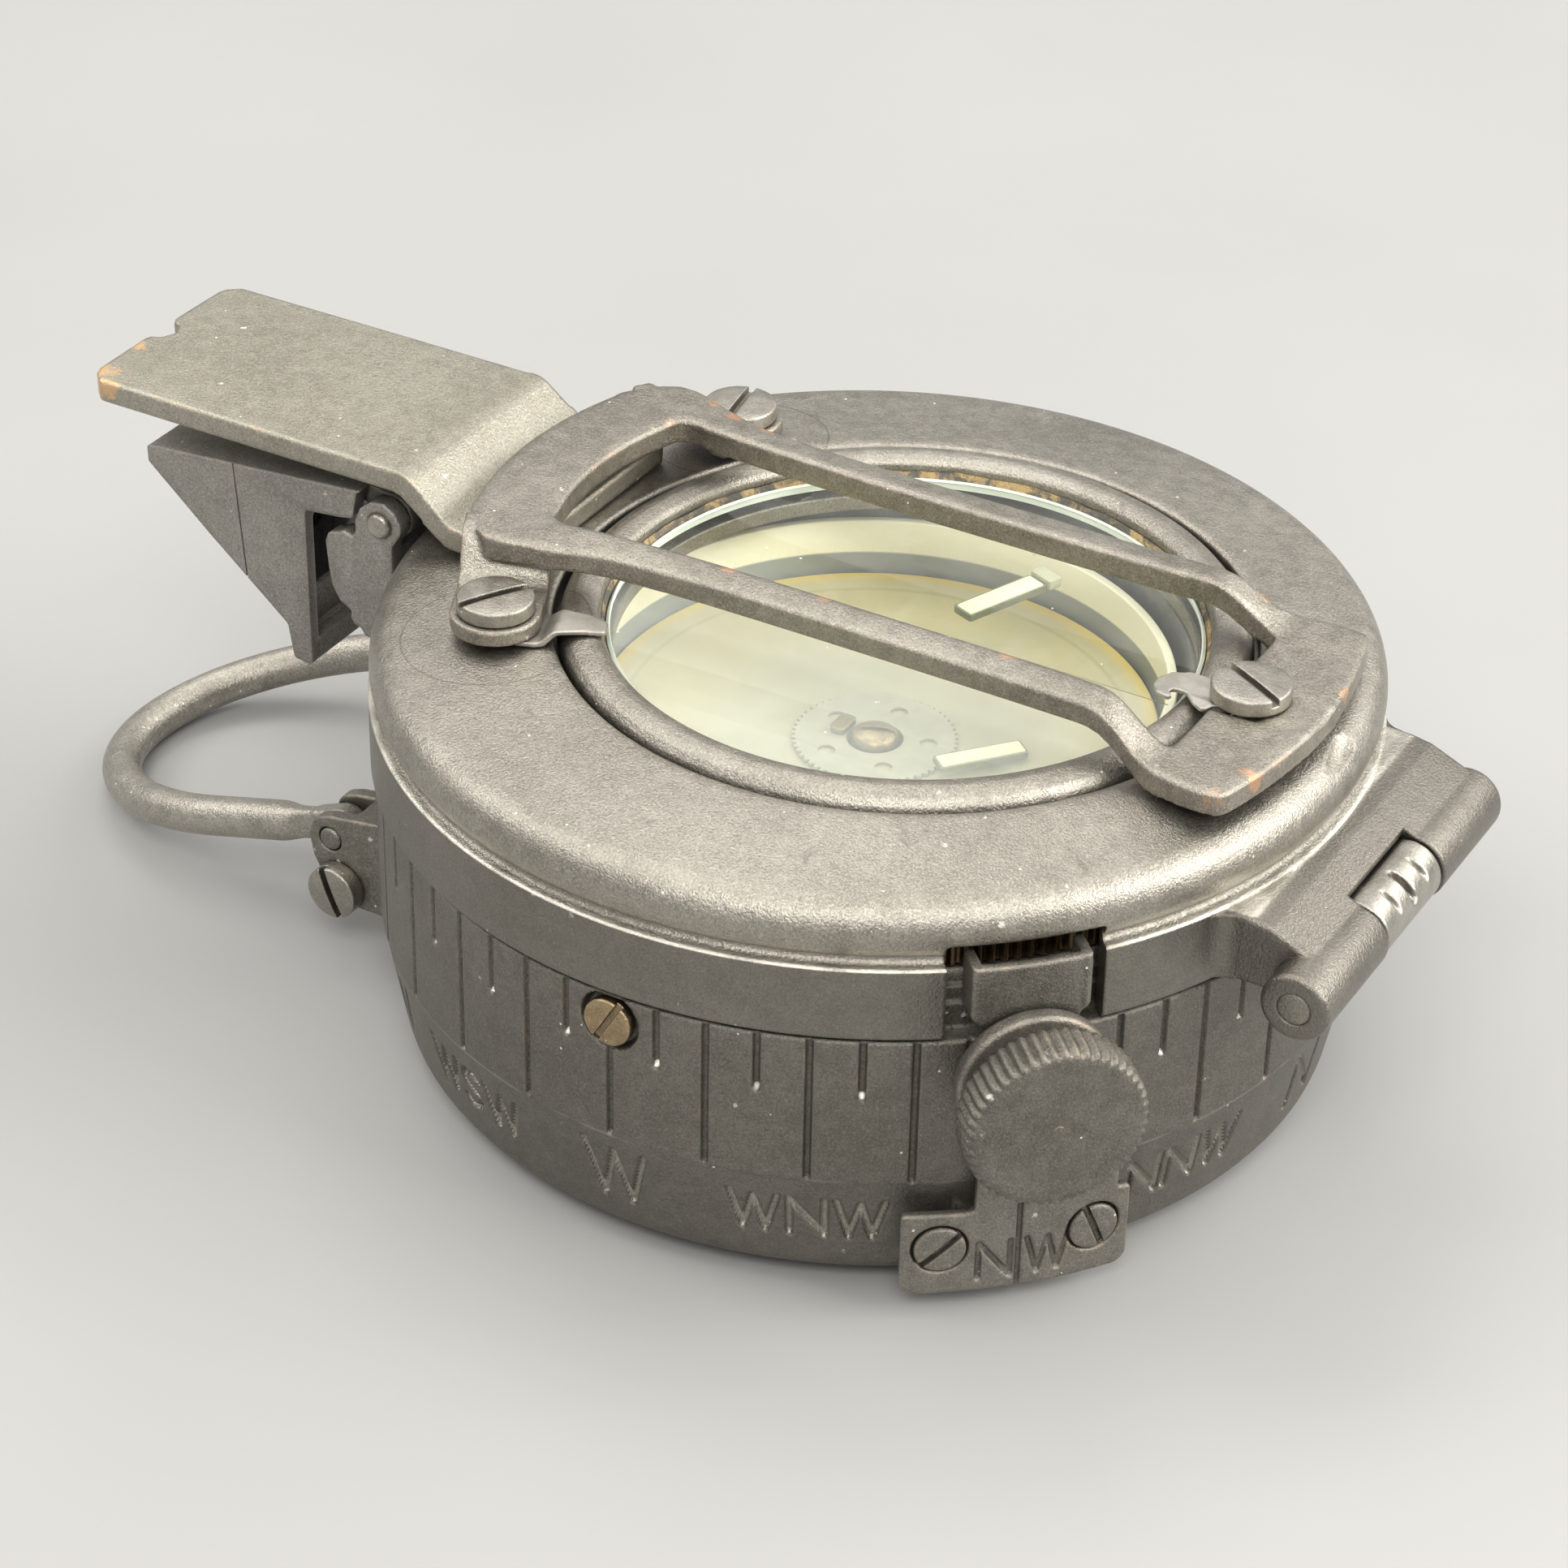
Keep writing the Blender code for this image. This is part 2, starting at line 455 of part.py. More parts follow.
def loop_point(u, y, h=0.0):
    """u outward from the pins in the loop's plane, h across it."""
    return Vector((LX - u * math.cos(th) - h * math.sin(th) * 1.0, y,
                   LZ - u * math.sin(th) + h * math.cos(th)))


def tube(points, radius, sides=8):
    bm = bmesh.new()
    normal = Vector((-math.sin(th), 0, math.cos(th)))
    rings = []
    for i, p in enumerate(points):
        a = points[max(i - 1, 0)]
        b = points[min(i + 1, len(points) - 1)]
        t = (b - a).normalized()
        side = t.cross(normal).normalized()
        rings.append([bm.verts.new(p + radius * (math.cos(2 * math.pi * k / sides) * side
                                                 + math.sin(2 * math.pi * k / sides) * normal))
                      for k in range(sides)])
    for r0, r1 in zip(rings, rings[1:]):
        for k in range(sides):
            bm.faces.new((r0[k], r0[(k + 1) % sides], r1[(k + 1) % sides], r1[k]))
    bm.faces.new(rings[0][::-1])
    bm.faces.new(rings[-1])
    return bm


path = [loop_point(3.8 + (LOOP_L - 3.8) * i / 3, -LOOP_A) for i in range(4)]
path += [loop_point(LOOP_L + LOOP_K * math.cos(math.radians(a)), LOOP_A * math.sin(math.radians(a)))
         for a in range(-80, 81, 10)]
path += [loop_point(LOOP_L - (LOOP_L - 3.8) * i / 3, LOOP_A) for i in range(4)]
loop = finish(tube(path, LOOP_WIRE), "thumb_loop", GREY, origin=(LX, 0, LZ))
for s in (-1, 1):
    eye = [(1.25 * math.cos(math.radians(q)), 1.25 * math.sin(math.radians(q)))
           for q in range(90, 271, 18)]
    pts = [tuple(loop_point(u, 0, h).xz) for u, h in eye + [(4.9, -1.0), (4.9, 1.0)]]
    join(loop, slab(pts, s * LOOP_A - 0.65, s * LOOP_A + 0.65, "y"))
cut(loop, rod((LX, -20, LZ), (0, 1, 0), 0.8, 40, 12))

for s, label in ((-1, "near"), (1, "far")):
    body = [(LX - 1.3, LZ - 1.6), (LX - 1.6, LZ), (LX - 1.1, LZ + 1.25), (LX, LZ + 1.65), (-26.0, LZ + 2.4),
            (-26.0, 4.0), (-29.6, 4.0), (-31.0, 5.0)]
    lug = finish(slab(body, s * LOOP_A - 1.9, s * LOOP_A + 1.9, "y"), f"loop_lug_{label}", GREY)
    cut(lug, turned([(0, 0), (DRUM_R + 0.32, 0), (DRUM_R + 0.32, 20), (0, 20)]))
    cut(lug, slab([(-40, 3), (-30.85, 3), (-30.85, 5.9), (-29.2, 5.9), (-29.0, 8.5), (-29.2, 14), (-40, 14)],
                  s * LOOP_A - 0.98, s * LOOP_A + 0.98, "y"))
    cut(lug, rod((LX, -20, LZ), (0, 1, 0), 0.85, 40, 12))
    cut(lug, rod((-30.0, s * LOOP_A - 5, 5.0 + 0.3), (0, 1, 0), 0.72, 10, 12))
    finish(rod((LX, s * LOOP_A - 2.0, LZ), (0, 1, 0), 0.5, 4.0, 12), f"loop_pin_{label}", STEEL)
    screw(f"loop_screw_{label}", (-30.0, s * (LOOP_A + 2.2), 5.3), (0, s, 0), 1.75, 0.9, 0.42, 3.8,
          STEEL, slot_deg=40, slot_w=0.55, slot_d=0.4, seg=12)

# --------------------------------------------------------- clamp and knob
N = Vector(polar(1, CLAMP_DEG, 0))


def sheet(rows, r_in, r_out, cols=7):
    bm = bmesh.new()
    grid = []
    for z, a0, a1 in rows:
        line = []
        for c in range(cols):
            a = CLAMP_DEG + a0 + (a1 - a0) * c / (cols - 1)
            line.append((bm.verts.new(polar(r_in, a, z)), bm.verts.new(polar(r_out, a, z))))
        grid.append(line)
    for j in range(len(grid) - 1):
        for c in range(cols - 1):
            a, b, d, e = grid[j][c], grid[j][c + 1], grid[j + 1][c + 1], grid[j + 1][c]
            bm.faces.new((a[0], e[0], d[0], b[0]))
            bm.faces.new((a[1], b[1], d[1], e[1]))
        for c in (0, cols - 1):
            a, e = grid[j][c], grid[j + 1][c]
            bm.faces.new((a[0], a[1], e[1], e[0]))
    for j in (0, len(grid) - 1):
        for c in range(cols - 1):
            a, b = grid[j][c], grid[j][c + 1]
            bm.faces.new((a[0], b[0], b[1], a[1]))
    return bm


spring = finish(sheet([(1.7, -12.9, 12.9), (7.25, -12.9, 12.9), (7.4, -4.9, 12.4), (9.3, -4.9, 11.6),
                       (9.5, -4.9, 4.9), (19.4, -4.2, 4.2), (20.3, -6.3, 6.3), (24.1, -6.3, 6.3)],
                      30.5, 31.1), "clamp_spring", GREY)
for s in (-1, 1):
    join(spring, turn_z(slab([(29.1, s * 2.75), (30.8, s * 2.75), (30.8, s * 3.36), (29.1, s * 3.36)],
                             20.5, 24.0), CLAMP_DEG))
cut(spring, rod(polar(26, CLAMP_DEG, KNOB_Z), N, 1.75, 9, 16))
for s in (-1, 1):
    a = CLAMP_DEG + 8.3 * s
    cut(spring, rod(polar(26, a, 4.9), polar(1, a, 0), 0.95, 9, 12))
    screw(f"foot_screw_{1 if s < 0 else 2}", polar(31.4, a, 4.9), polar(1, a, 0), 1.7, 0.6, 0.6, 4.4,
          STEEL, slot_deg=30 - 75 * s, slot_w=0.55, slot_d=0.4, seg=12)

washer = turned_along([(1.75, 0), (4.5, 0), (4.5, 1.1), (1.75, 1.1)], polar(31.5, CLAMP_DEG, KNOB_Z), N, 24)
finish(washer, "clamp_washer", GREY)
knob = finish(turned_along([(1.75, 0), (3.2, 0), (3.2, 1.1), (KNOB_R - 0.1, 1.1), (KNOB_R, 1.3), (KNOB_R, 3.5),
                            (KNOB_R - 0.25, 3.75), (0, 3.75), (0, 2.9), (1.75, 2.9)],
                           polar(32.9, CLAMP_DEG, KNOB_Z), N, 32),
              "clamp_knob", GREY, origin=polar(32.9, CLAMP_DEG, KNOB_Z))
finish(rod(polar(26.9, CLAMP_DEG, KNOB_Z), N, 1.1, 8.55, 16), "clamp_stud", STEEL,
       origin=polar(32.9, CLAMP_DEG, KNOB_Z))

for i, a in enumerate(CASE_SCREW_DEG):
    screw(f"case_screw_{i + 1}", polar(29.65, a, 16.65), polar(1, a, 0), 1.5, 0.6, 0.8, 2.6, BRASS,
          slot_deg=70 + 50 * i, slot_w=0.5, slot_d=0.35, seg=12)

# ----------------------------------------------------- lid hinge remainder
finish(rod((HX, -13.0, HZ), (0, 1, 0), 0.65, 24.4, 14), "hinge_pin", STEEL)
half = (SLEEVE_HI - SLEEVE_LO) / 2
mid = (SLEEVE_HI + SLEEVE_LO) / 2
sleeve = [(0.98, -half), (1.95, -half), (1.95, -2.1), (1.6, -1.95), (1.6, -1.55), (1.95, -1.4), (1.95, -0.35),
          (1.6, -0.2), (1.6, 0.2), (1.95, 0.35), (1.95, 1.4), (1.6, 1.55), (1.6, 1.95), (1.95, 2.1),
          (1.95, half), (0.98, half)]
finish(turned_along(sleeve, (HX, mid, HZ), (0, 1, 0), 16), "hinge_sleeve", STEEL, origin=(HX, mid, HZ))
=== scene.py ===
"""Looks for the sighting compass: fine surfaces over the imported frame, procedural
materials, floor, soft light and camera.  Shapes below are in millimetres in the
row frame and are scaled to metres when a piece is finished."""
import math

import bmesh
import bpy
import numpy as np
from mathutils import Matrix, Vector

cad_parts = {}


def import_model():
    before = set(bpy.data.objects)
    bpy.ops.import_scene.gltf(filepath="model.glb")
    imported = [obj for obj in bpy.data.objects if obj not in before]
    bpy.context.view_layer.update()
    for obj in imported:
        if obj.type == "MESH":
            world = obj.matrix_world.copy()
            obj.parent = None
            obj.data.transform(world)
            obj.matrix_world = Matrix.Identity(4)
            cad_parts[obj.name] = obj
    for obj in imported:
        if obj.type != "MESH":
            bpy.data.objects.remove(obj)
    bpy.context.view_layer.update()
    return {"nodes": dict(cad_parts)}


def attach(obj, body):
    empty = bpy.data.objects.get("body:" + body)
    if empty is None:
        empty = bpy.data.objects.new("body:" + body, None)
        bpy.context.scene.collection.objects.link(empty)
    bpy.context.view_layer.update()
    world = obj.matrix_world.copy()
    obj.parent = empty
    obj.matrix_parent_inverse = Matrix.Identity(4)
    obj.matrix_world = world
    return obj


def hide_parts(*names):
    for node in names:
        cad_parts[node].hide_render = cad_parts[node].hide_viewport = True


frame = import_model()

SC = bpy.context.scene

# ------------------------------------------------------------------ shared sizes
DRUM_R, DRUM_R_LOW, Z_CREASE = 29.9, 28.7, 8.6
HEAD_R, Z_SKIRT = 30.15, 18.7
WIN_X, Z_SEAT, BEZEL_IN, BEZEL_OUT = 1.8, 26.4, 17.9, 20.45
BACK_SCREW, FRONT_SCREW_X = (-17.8, 13.85), 23.9
BAR_TOP, END_TOP, PAD_TOP = 32.1, 29.7, 29.3
PRISM_PIN = (-31.2, 27.2)
LX, LZ, DROOP = -30.7, 8.5, math.radians(16.0)
LOOP_A, LOOP_L, LOOP_K = 11.8, 10.8, 14.74
HX, HZ, HINGE_R = 33.5, 19.9, 2.08
SLEEVE_LO, SLEEVE_HI = -4.8, 2.7
CLAMP_DEG, KNOB_Z, KNOB_R = -45.0, 16.8, 5.2


# ================================================================== materials
def add(nt, kind, ins=None, **props):
    n = nt.nodes.new(kind)
    for k, v in props.items():
        setattr(n, k, v)
    for k, v in (ins or {}).items():
        if isinstance(v, bpy.types.NodeSocket):
            nt.links.new(v, n.inputs[k])
        else:
            n.inputs[k].default_value = v
    return n


def mth(nt, op, a, b=0.0, c=0.0, clamp=False):
    n = nt.nodes.new("ShaderNodeMath")
    n.operation, n.use_clamp = op, clamp
    for i, v in enumerate((a, b, c)):
        if isinstance(v, bpy.types.NodeSocket):
            nt.links.new(v, n.inputs[i])
        elif i < len(n.inputs):
            n.inputs[i].default_value = v
    return n.outputs[0]


def rng(nt, v, a, b, lo=0.0, hi=1.0, smooth=True):
    n = add(nt, "ShaderNodeMapRange", {"Value": v, "From Min": a, "From Max": b, "To Min": lo, "To Max": hi},
            interpolation_type="SMOOTHSTEP" if smooth else "LINEAR")
    return n.outputs["Result"]


def mix(nt, fac, a, b, mode="MIX"):
    n = nt.nodes.new("ShaderNodeMix")
    n.data_type, n.blend_type = "RGBA", mode
    for i, v in ((0, fac), (6, a), (7, b)):
        if isinstance(v, bpy.types.NodeSocket):
            nt.links.new(v, n.inputs[i])
        elif i:
            n.inputs[i].default_value = (*v, 1.0)
        else:
            n.inputs[0].default_value = v
    return n.outputs[2]


def fmix(nt, fac, a, b):
    n = nt.nodes.new("ShaderNodeMix")
    n.data_type = "FLOAT"
    for i, v in ((0, fac), (2, a), (3, b)):
        if isinstance(v, bpy.types.NodeSocket):
            nt.links.new(v, n.inputs[i])
        else:
            n.inputs[i].default_value = v
    return n.outputs[0]


def coords(nt, shift=(0, 0, 0), stretch=(1, 1, 1)):
    tc = nt.nodes.new("ShaderNodeTexCoord")
    mp = add(nt, "ShaderNodeMapping", {"Vector": tc.outputs["Object"], "Location": shift,
                                       "Scale": tuple(1000 * s for s in stretch)})
    return mp.outputs["Vector"]


def noise(nt, co, scale, detail=4.0, rough=0.55, dist=0.0):
    return add(nt, "ShaderNodeTexNoise", {"Vector": co, "Scale": scale, "Detail": detail, "Roughness": rough,
                                          "Distortion": dist}).outputs["Fac"]


def start(name):
    m = bpy.data.materials.new(name)
    m.use_nodes = True
    nt = m.node_tree
    nt.nodes.clear()
    out = nt.nodes.new("ShaderNodeOutputMaterial")
    p = nt.nodes.new("ShaderNodeBsdfPrincipled")
    nt.links.new(p.outputs[0], out.inputs[0])
    return m, nt, p, out


def put(nt, p, **ins):
    names = {"base": "Base Color", "rough": "Roughness", "metal": "Metallic", "normal": "Normal",
             "coat": "Coat Weight", "coat_rough": "Coat Roughness", "spec": "Specular IOR Level",
             "alpha": "Alpha", "trans": "Transmission Weight", "ior": "IOR", "sheen": "Sheen Weight"}
    for k, v in ins.items():
        s = p.inputs[names[k]]
        if isinstance(v, bpy.types.NodeSocket):
            nt.links.new(v, s)
        elif k == "base":
            s.default_value = (*v, 1.0)
        else:
            s.default_value = v


def metal(name, base, dark, bare=(0.62, 0.40, 0.24), metallic=0.85, rough=0.42, edge_wear_and_sheen=1.0, grain=1.0,
          stain=1.0, specks=1.0, edge_r=0.28, brush=None, extra=None, soft_edges=False, spots=(), corner_shade_k=0.55):
    """Blasted and toned metal: mottled tone, fine grain, painted shade in the corners,
    edges lighter from rubbing and a painted highlight, coppery where rubbed, a few scratches and dust specks."""
    m, nt, p, _ = start(name)
    co = coords(nt)
    broad = noise(nt, co, 0.10, 5, 0.6)
    mott = noise(nt, co, 0.9, 6, 0.62)
    fine = noise(nt, co, 4.6, 4, 0.62)
    micro = noise(nt, co, 8.5, 2, 0.55)
    tone = mth(nt, "ADD", mth(nt, "MULTIPLY", broad, 0.5), mth(nt, "MULTIPLY", mott, 0.5))
    col = mix(nt, rng(nt, tone, 0.36, 0.66), dark, base)
    # grain, as darker and lighter pips
    col = mix(nt, mth(nt, "MULTIPLY", rng(nt, micro, 0.50, 0.70), 0.42 * grain), col,
              tuple(min(1.0, c * 1.6) for c in base))
    col = mix(nt, mth(nt, "MULTIPLY", rng(nt, micro, 0.48, 0.30), 0.40 * grain), col, tuple(c * 0.5 for c in dark))
    col = mix(nt, mth(nt, "MULTIPLY", rng(nt, fine, 0.50, 0.28), 0.40 * grain), col, tuple(c * 0.55 for c in dark))
    # stains
    blot = noise(nt, coords(nt, (7.3, 2.1, 4.4)), 0.42, 9, 0.68, 0.6)
    st = rng(nt, blot, 0.585, 0.72)
    col = mix(nt, mth(nt, "MULTIPLY", st, 0.42 * stain), col, (0.10, 0.095, 0.08))
    # edges from the rounding normal, corners from occlusion, which darkens them below as painted shade
    bev = add(nt, "ShaderNodeBevel", {"Radius": edge_r * 0.001}, samples=4)
    geo = nt.nodes.new("ShaderNodeNewGeometry")
    dot = add(nt, "ShaderNodeVectorMath", {0: bev.outputs[0], 1: geo.outputs["Normal"]}, operation="DOT_PRODUCT")
    edge = rng(nt, dot.outputs["Value"], 0.992, 0.86)
    if soft_edges:
        edge = mth(nt, "MAXIMUM", edge, rng(nt, geo.outputs["Pointiness"], 0.515, 0.565))
    ao = add(nt, "ShaderNodeAmbientOcclusion", {"Distance": 0.0011}, samples=4).outputs["AO"]
    open_edge = mth(nt, "MULTIPLY", edge, rng(nt, ao, 0.55, 0.85))
    rubbed = mth(nt, "MULTIPLY", open_edge, rng(nt, mott, 0.40, 0.60))
    # edges painted lighter: partly rubbing, partly a painted highlight along the rounded edges
    col = mix(nt, mth(nt, "MULTIPLY", open_edge, 0.40 * min(1.0, edge_wear_and_sheen + 0.2)), col,
              tuple(min(1.0, c * 1.5) for c in base))
    copper = mth(nt, "MULTIPLY", rubbed, rng(nt, noise(nt, coords(nt, (1.7, 9.2, 3.3)), 0.23, 3, 0.5), 0.47, 0.60))
    col = mix(nt, mth(nt, "MULTIPLY", copper, 0.85 * edge_wear_and_sheen, clamp=True), col, bare)
    if spots:
        tc = nt.nodes.new("ShaderNodeTexCoord")
        for x, y, z, r in spots:
            d = add(nt, "ShaderNodeVectorMath", {0: tc.outputs["Object"], 1: (x * 0.001, y * 0.001, z * 0.001)},
                    operation="DISTANCE")
            near = rng(nt, mth(nt, "ADD", mth(nt, "MULTIPLY", d.outputs["Value"], 1000.0),
                               mth(nt, "MULTIPLY", mth(nt, "SUBTRACT", mott, 0.5), 3.0 * r)), r, 0.35 * r)
            col = mix(nt, mth(nt, "MULTIPLY", near, 0.85), col, bare)
    # painted shade: corners and hollows found by occlusion are darkened
    corner_shade = rng(nt, ao, 0.78, 0.30)
    col = mix(nt, mth(nt, "MULTIPLY", corner_shade, corner_shade_k), col, (0.05, 0.045, 0.036))
    # dust specks
    vor = add(nt, "ShaderNodeTexVoronoi", {"Vector": coords(nt, (3.1, 5.5, 8.8)), "Scale": 0.62, "Randomness": 1.0})
    sep = add(nt, "ShaderNodeSeparateColor", {0: vor.outputs["Color"]})
    dust = mth(nt, "MULTIPLY", rng(nt, vor.outputs["Distance"], 0.062, 0.035),
               rng(nt, sep.outputs[0], 0.66 - 0.22 * specks, 0.70 - 0.22 * specks))
    dust = mth(nt, "MULTIPLY", dust, 0.8 * min(1.0, specks))
    if specks >= 1.0:
        # larger pale smudges, torn by the noise
        vor2 = add(nt, "ShaderNodeTexVoronoi", {"Vector": coords(nt, (9.4, 2.2, 6.1)), "Scale": 0.40, "Randomness": 1.0})
        sep2 = add(nt, "ShaderNodeSeparateColor", {0: vor2.outputs["Color"]})
        torn = mth(nt, "ADD", vor2.outputs["Distance"], mth(nt, "MULTIPLY", mth(nt, "SUBTRACT", fine, 0.5), 0.28))
        dust2 = mth(nt, "MULTIPLY", rng(nt, torn, 0.085, 0.03),
                    rng(nt, sep2.outputs[0], 0.86 - 0.20 * specks, 0.92 - 0.20 * specks))
        dust = mth(nt, "MAXIMUM", dust, mth(nt, "MULTIPLY", dust2, 0.55))
    col = mix(nt, dust, col, (0.75, 0.73, 0.68))
    if extra:
        col = extra(nt, col)
    r = mth(nt, "ADD", rough, mth(nt, "MULTIPLY", mth(nt, "SUBTRACT", mott, 0.5), 0.28))
    r = fmix(nt, mth(nt, "MULTIPLY", open_edge, 0.6), r, max(0.18, rough - 0.16))
    r = fmix(nt, mth(nt, "MULTIPLY", st, 0.5), r, 0.62)
    r = fmix(nt, dust, r, 0.9)
    h = mth(nt, "ADD", mth(nt, "MULTIPLY", micro, 0.55), mth(nt, "MULTIPLY", fine, 0.75))
    if brush:
        bn = noise(nt, coords(nt, stretch=brush), 1.0, 4, 0.7)
        h = mth(nt, "ADD", h, mth(nt, "MULTIPLY", bn, 0.9))
    bump = add(nt, "ShaderNodeBump", {"Strength": 0.8 * grain, "Distance": 0.00008, "Height": h,
                                      "Normal": bev.outputs[0]})
    put(nt, p, base=col, rough=r, metal=fmix(nt, dust, fmix(nt, mth(nt, "MULTIPLY", st, 0.4), metallic, 0.4), 0.0),
        normal=bump.outputs[0])
    return m


def ring_marks(centres, radius, width=0.09, depth=0.4):
    """A faint scribed circle about each vertical axis, for the head's spot faces."""
    def paint(nt, col):
        tc = nt.nodes.new("ShaderNodeTexCoord")
        xyz = add(nt, "ShaderNodeSeparateXYZ", {0: tc.outputs["Object"]})
        for x, y in centres:
            dx = mth(nt, "SUBTRACT", mth(nt, "MULTIPLY", xyz.outputs[0], 1000.0), x)
            dy = mth(nt, "SUBTRACT", mth(nt, "MULTIPLY", xyz.outputs[1], 1000.0), y)
            d = mth(nt, "SQRT", mth(nt, "ADD", mth(nt, "MULTIPLY", dx, dx), mth(nt, "MULTIPLY", dy, dy)))
            off = mth(nt, "ABSOLUTE", mth(nt, "SUBTRACT", d, radius))
            line = mth(nt, "MULTIPLY", rng(nt, off, width, width * 0.3),
                       rng(nt, mth(nt, "MULTIPLY", xyz.outputs[2], 1000.0), 26.4, 26.9))
            col = mix(nt, mth(nt, "MULTIPLY", line, depth), col, (0.09, 0.085, 0.075))
        return col
    return paint


def head_tone(nt, col):
    tc = nt.nodes.new("ShaderNodeTexCoord")
    z = mth(nt, "MULTIPLY", add(nt, "ShaderNodeSeparateXYZ", {0: tc.outputs["Object"]}).outputs[2], 1000.0)
    # painted shade: the upright skirt below the lip is darkened
    col = mix(nt, rng(nt, z, 23.3, 23.15, 0.0, 0.58), col, (0.10, 0.092, 0.078))
    # painted highlight: a thin bright line along the lip's top edge
    wob = noise(nt, coords(nt), 0.35, 3, 0.5)
    line = mth(nt, "MULTIPLY", rng(nt, mth(nt, "ABSOLUTE", mth(nt, "SUBTRACT", z, 23.30)), 0.10, 0.04),
               rng(nt, wob, 0.34, 0.52, 0.35, 1.0))
    col = mix(nt, mth(nt, "MULTIPLY", line, 0.75), col, (0.80, 0.77, 0.68))
    return ring_marks([(BACK_SCREW[0], -BACK_SCREW[1]), (BACK_SCREW[0], BACK_SCREW[1])], 5.6)(nt, col)


def drum_tone(nt, col):
    """Painted shade darker towards the bottom, a bright pip where each short division ends, and a rubbed crease."""
    tc = nt.nodes.new("ShaderNodeTexCoord")
    xyz = add(nt, "ShaderNodeSeparateXYZ", {0: tc.outputs["Object"]})
    z = mth(nt, "MULTIPLY", xyz.outputs[2], 1000.0)
    turn = mth(nt, "MULTIPLY", mth(nt, "ARCTAN2", xyz.outputs[1], xyz.outputs[0]), 180.0 / math.pi)
    cell = mth(nt, "FRACT", mth(nt, "DIVIDE", mth(nt, "ADD", turn, 360.0), 11.25))
    du = mth(nt, "MULTIPLY", mth(nt, "SUBTRACT", cell, 0.5), 11.25 * math.pi / 180 * DRUM_R)
    dz = mth(nt, "SUBTRACT", z, 14.60)
    d = mth(nt, "SQRT", mth(nt, "ADD", mth(nt, "MULTIPLY", du, du), mth(nt, "MULTIPLY", dz, dz)))
    wob = noise(nt, coords(nt), 0.22, 2, 0.5)
    # painted shade: the drum grows darker towards the bottom
    col = mix(nt, rng(nt, z, 23.0, 2.0, 0.10, 0.24), col, (0.07, 0.065, 0.055))
    col = mix(nt, mth(nt, "MULTIPLY", rng(nt, d, 0.21, 0.13), rng(nt, wob, 0.38, 0.50, 0.25, 1.0)), col,
              (0.86, 0.84, 0.78))
    crease = mth(nt, "MULTIPLY", rng(nt, mth(nt, "ABSOLUTE", mth(nt, "SUBTRACT", z, 8.62)), 0.16, 0.05),
                 rng(nt, wob, 0.45, 0.6))
    return mix(nt, mth(nt, "MULTIPLY", crease, 0.4), col, (0.42, 0.40, 0.35))


GREY, DARK = (0.375, 0.352, 0.308), (0.275, 0.257, 0.222)
# painted shade: the drum's grey is a darker copy of the head's, for its upright wall
M_BODY = metal("grey_drum", (0.215, 0.202, 0.175), (0.150, 0.140, 0.120), edge_wear_and_sheen=0.35, rough=0.44, metallic=0.85,
               extra=drum_tone, corner_shade_k=0.35)
M_HEAD = metal("grey_head", GREY, DARK, edge_wear_and_sheen=0.4, rough=0.35, metallic=0.92, stain=1.2,
               extra=head_tone)
M_GUARD = metal("grey_guard", (0.36, 0.336, 0.29), (0.235, 0.216, 0.184), bare=(0.62, 0.37, 0.23), edge_wear_and_sheen=0.8, rough=0.36, metallic=0.9,
                spots=[(-15.5, 9.9, 32, 1.1), (-13.0, 9.1, 32, 0.8), (-17.5, 10.6, 32, 0.9), (-6, -6.6, 32, 0.7),
                       (0, -6.6, 32, 0.6), (4, 8.7, 32, 0.6), (12, -6.7, 32, 0.8), (20.4, 9.3, 30.6, 0.8),
                       (27.3, -7.0, 29.3, 0.8), (26.2, -9.6, 29.2, 0.7), (28.4, 3.6, 29.4, 0.7)],
                stain=0.8, edge_r=0.34, soft_edges=True)
M_LEAF = metal("grey_leaf", (0.37, 0.35, 0.292), (0.29, 0.272, 0.222), bare=(0.70, 0.46, 0.25), edge_wear_and_sheen=0.5, rough=0.42, metallic=0.85,
               spots=[(-52.4, -7.4, 31.6, 2.3), (-52.3, -2.6, 31.8, 0.8)],
               specks=1.6, edge_r=0.34, soft_edges=True)
# painted highlight: the letter strokes get a lighter grey than the drum, for light caught in the engraving
M_LETTER = metal("grey_lettering", (0.40, 0.38, 0.33), (0.30, 0.283, 0.243), metallic=0.8, rough=0.40, edge_wear_and_sheen=0.2,
                 corner_shade_k=0.2, stain=0.3)
M_PRISM = metal("grey_prism", (0.33, 0.315, 0.285), (0.245, 0.232, 0.208), edge_wear_and_sheen=0.4, rough=0.48, stain=0.5, metallic=0.8)
M_LOOP = metal("grey_loop", (0.43, 0.405, 0.355), (0.31, 0.29, 0.25), bare=(0.70, 0.52, 0.32), edge_wear_and_sheen=0.6, rough=0.34, metallic=0.9, soft_edges=True)
M_CLAMP = metal("grey_clamp", (0.235, 0.222, 0.192), (0.165, 0.155, 0.133), edge_wear_and_sheen=0.6, rough=0.44, metallic=0.8, soft_edges=True)
M_KNOB = metal("grey_knob", (0.19, 0.18, 0.155), (0.12, 0.112, 0.094), edge_wear_and_sheen=0.9, rough=0.42, edge_r=0.22, metallic=0.8)
M_SCREW = metal("dull_steel", (0.42, 0.395, 0.35), (0.29, 0.272, 0.235), bare=(0.74, 0.68, 0.58), metallic=0.95,
                rough=0.34, edge_wear_and_sheen=0.8, grain=0.6, stain=0.5, specks=0.5, edge_r=0.16)
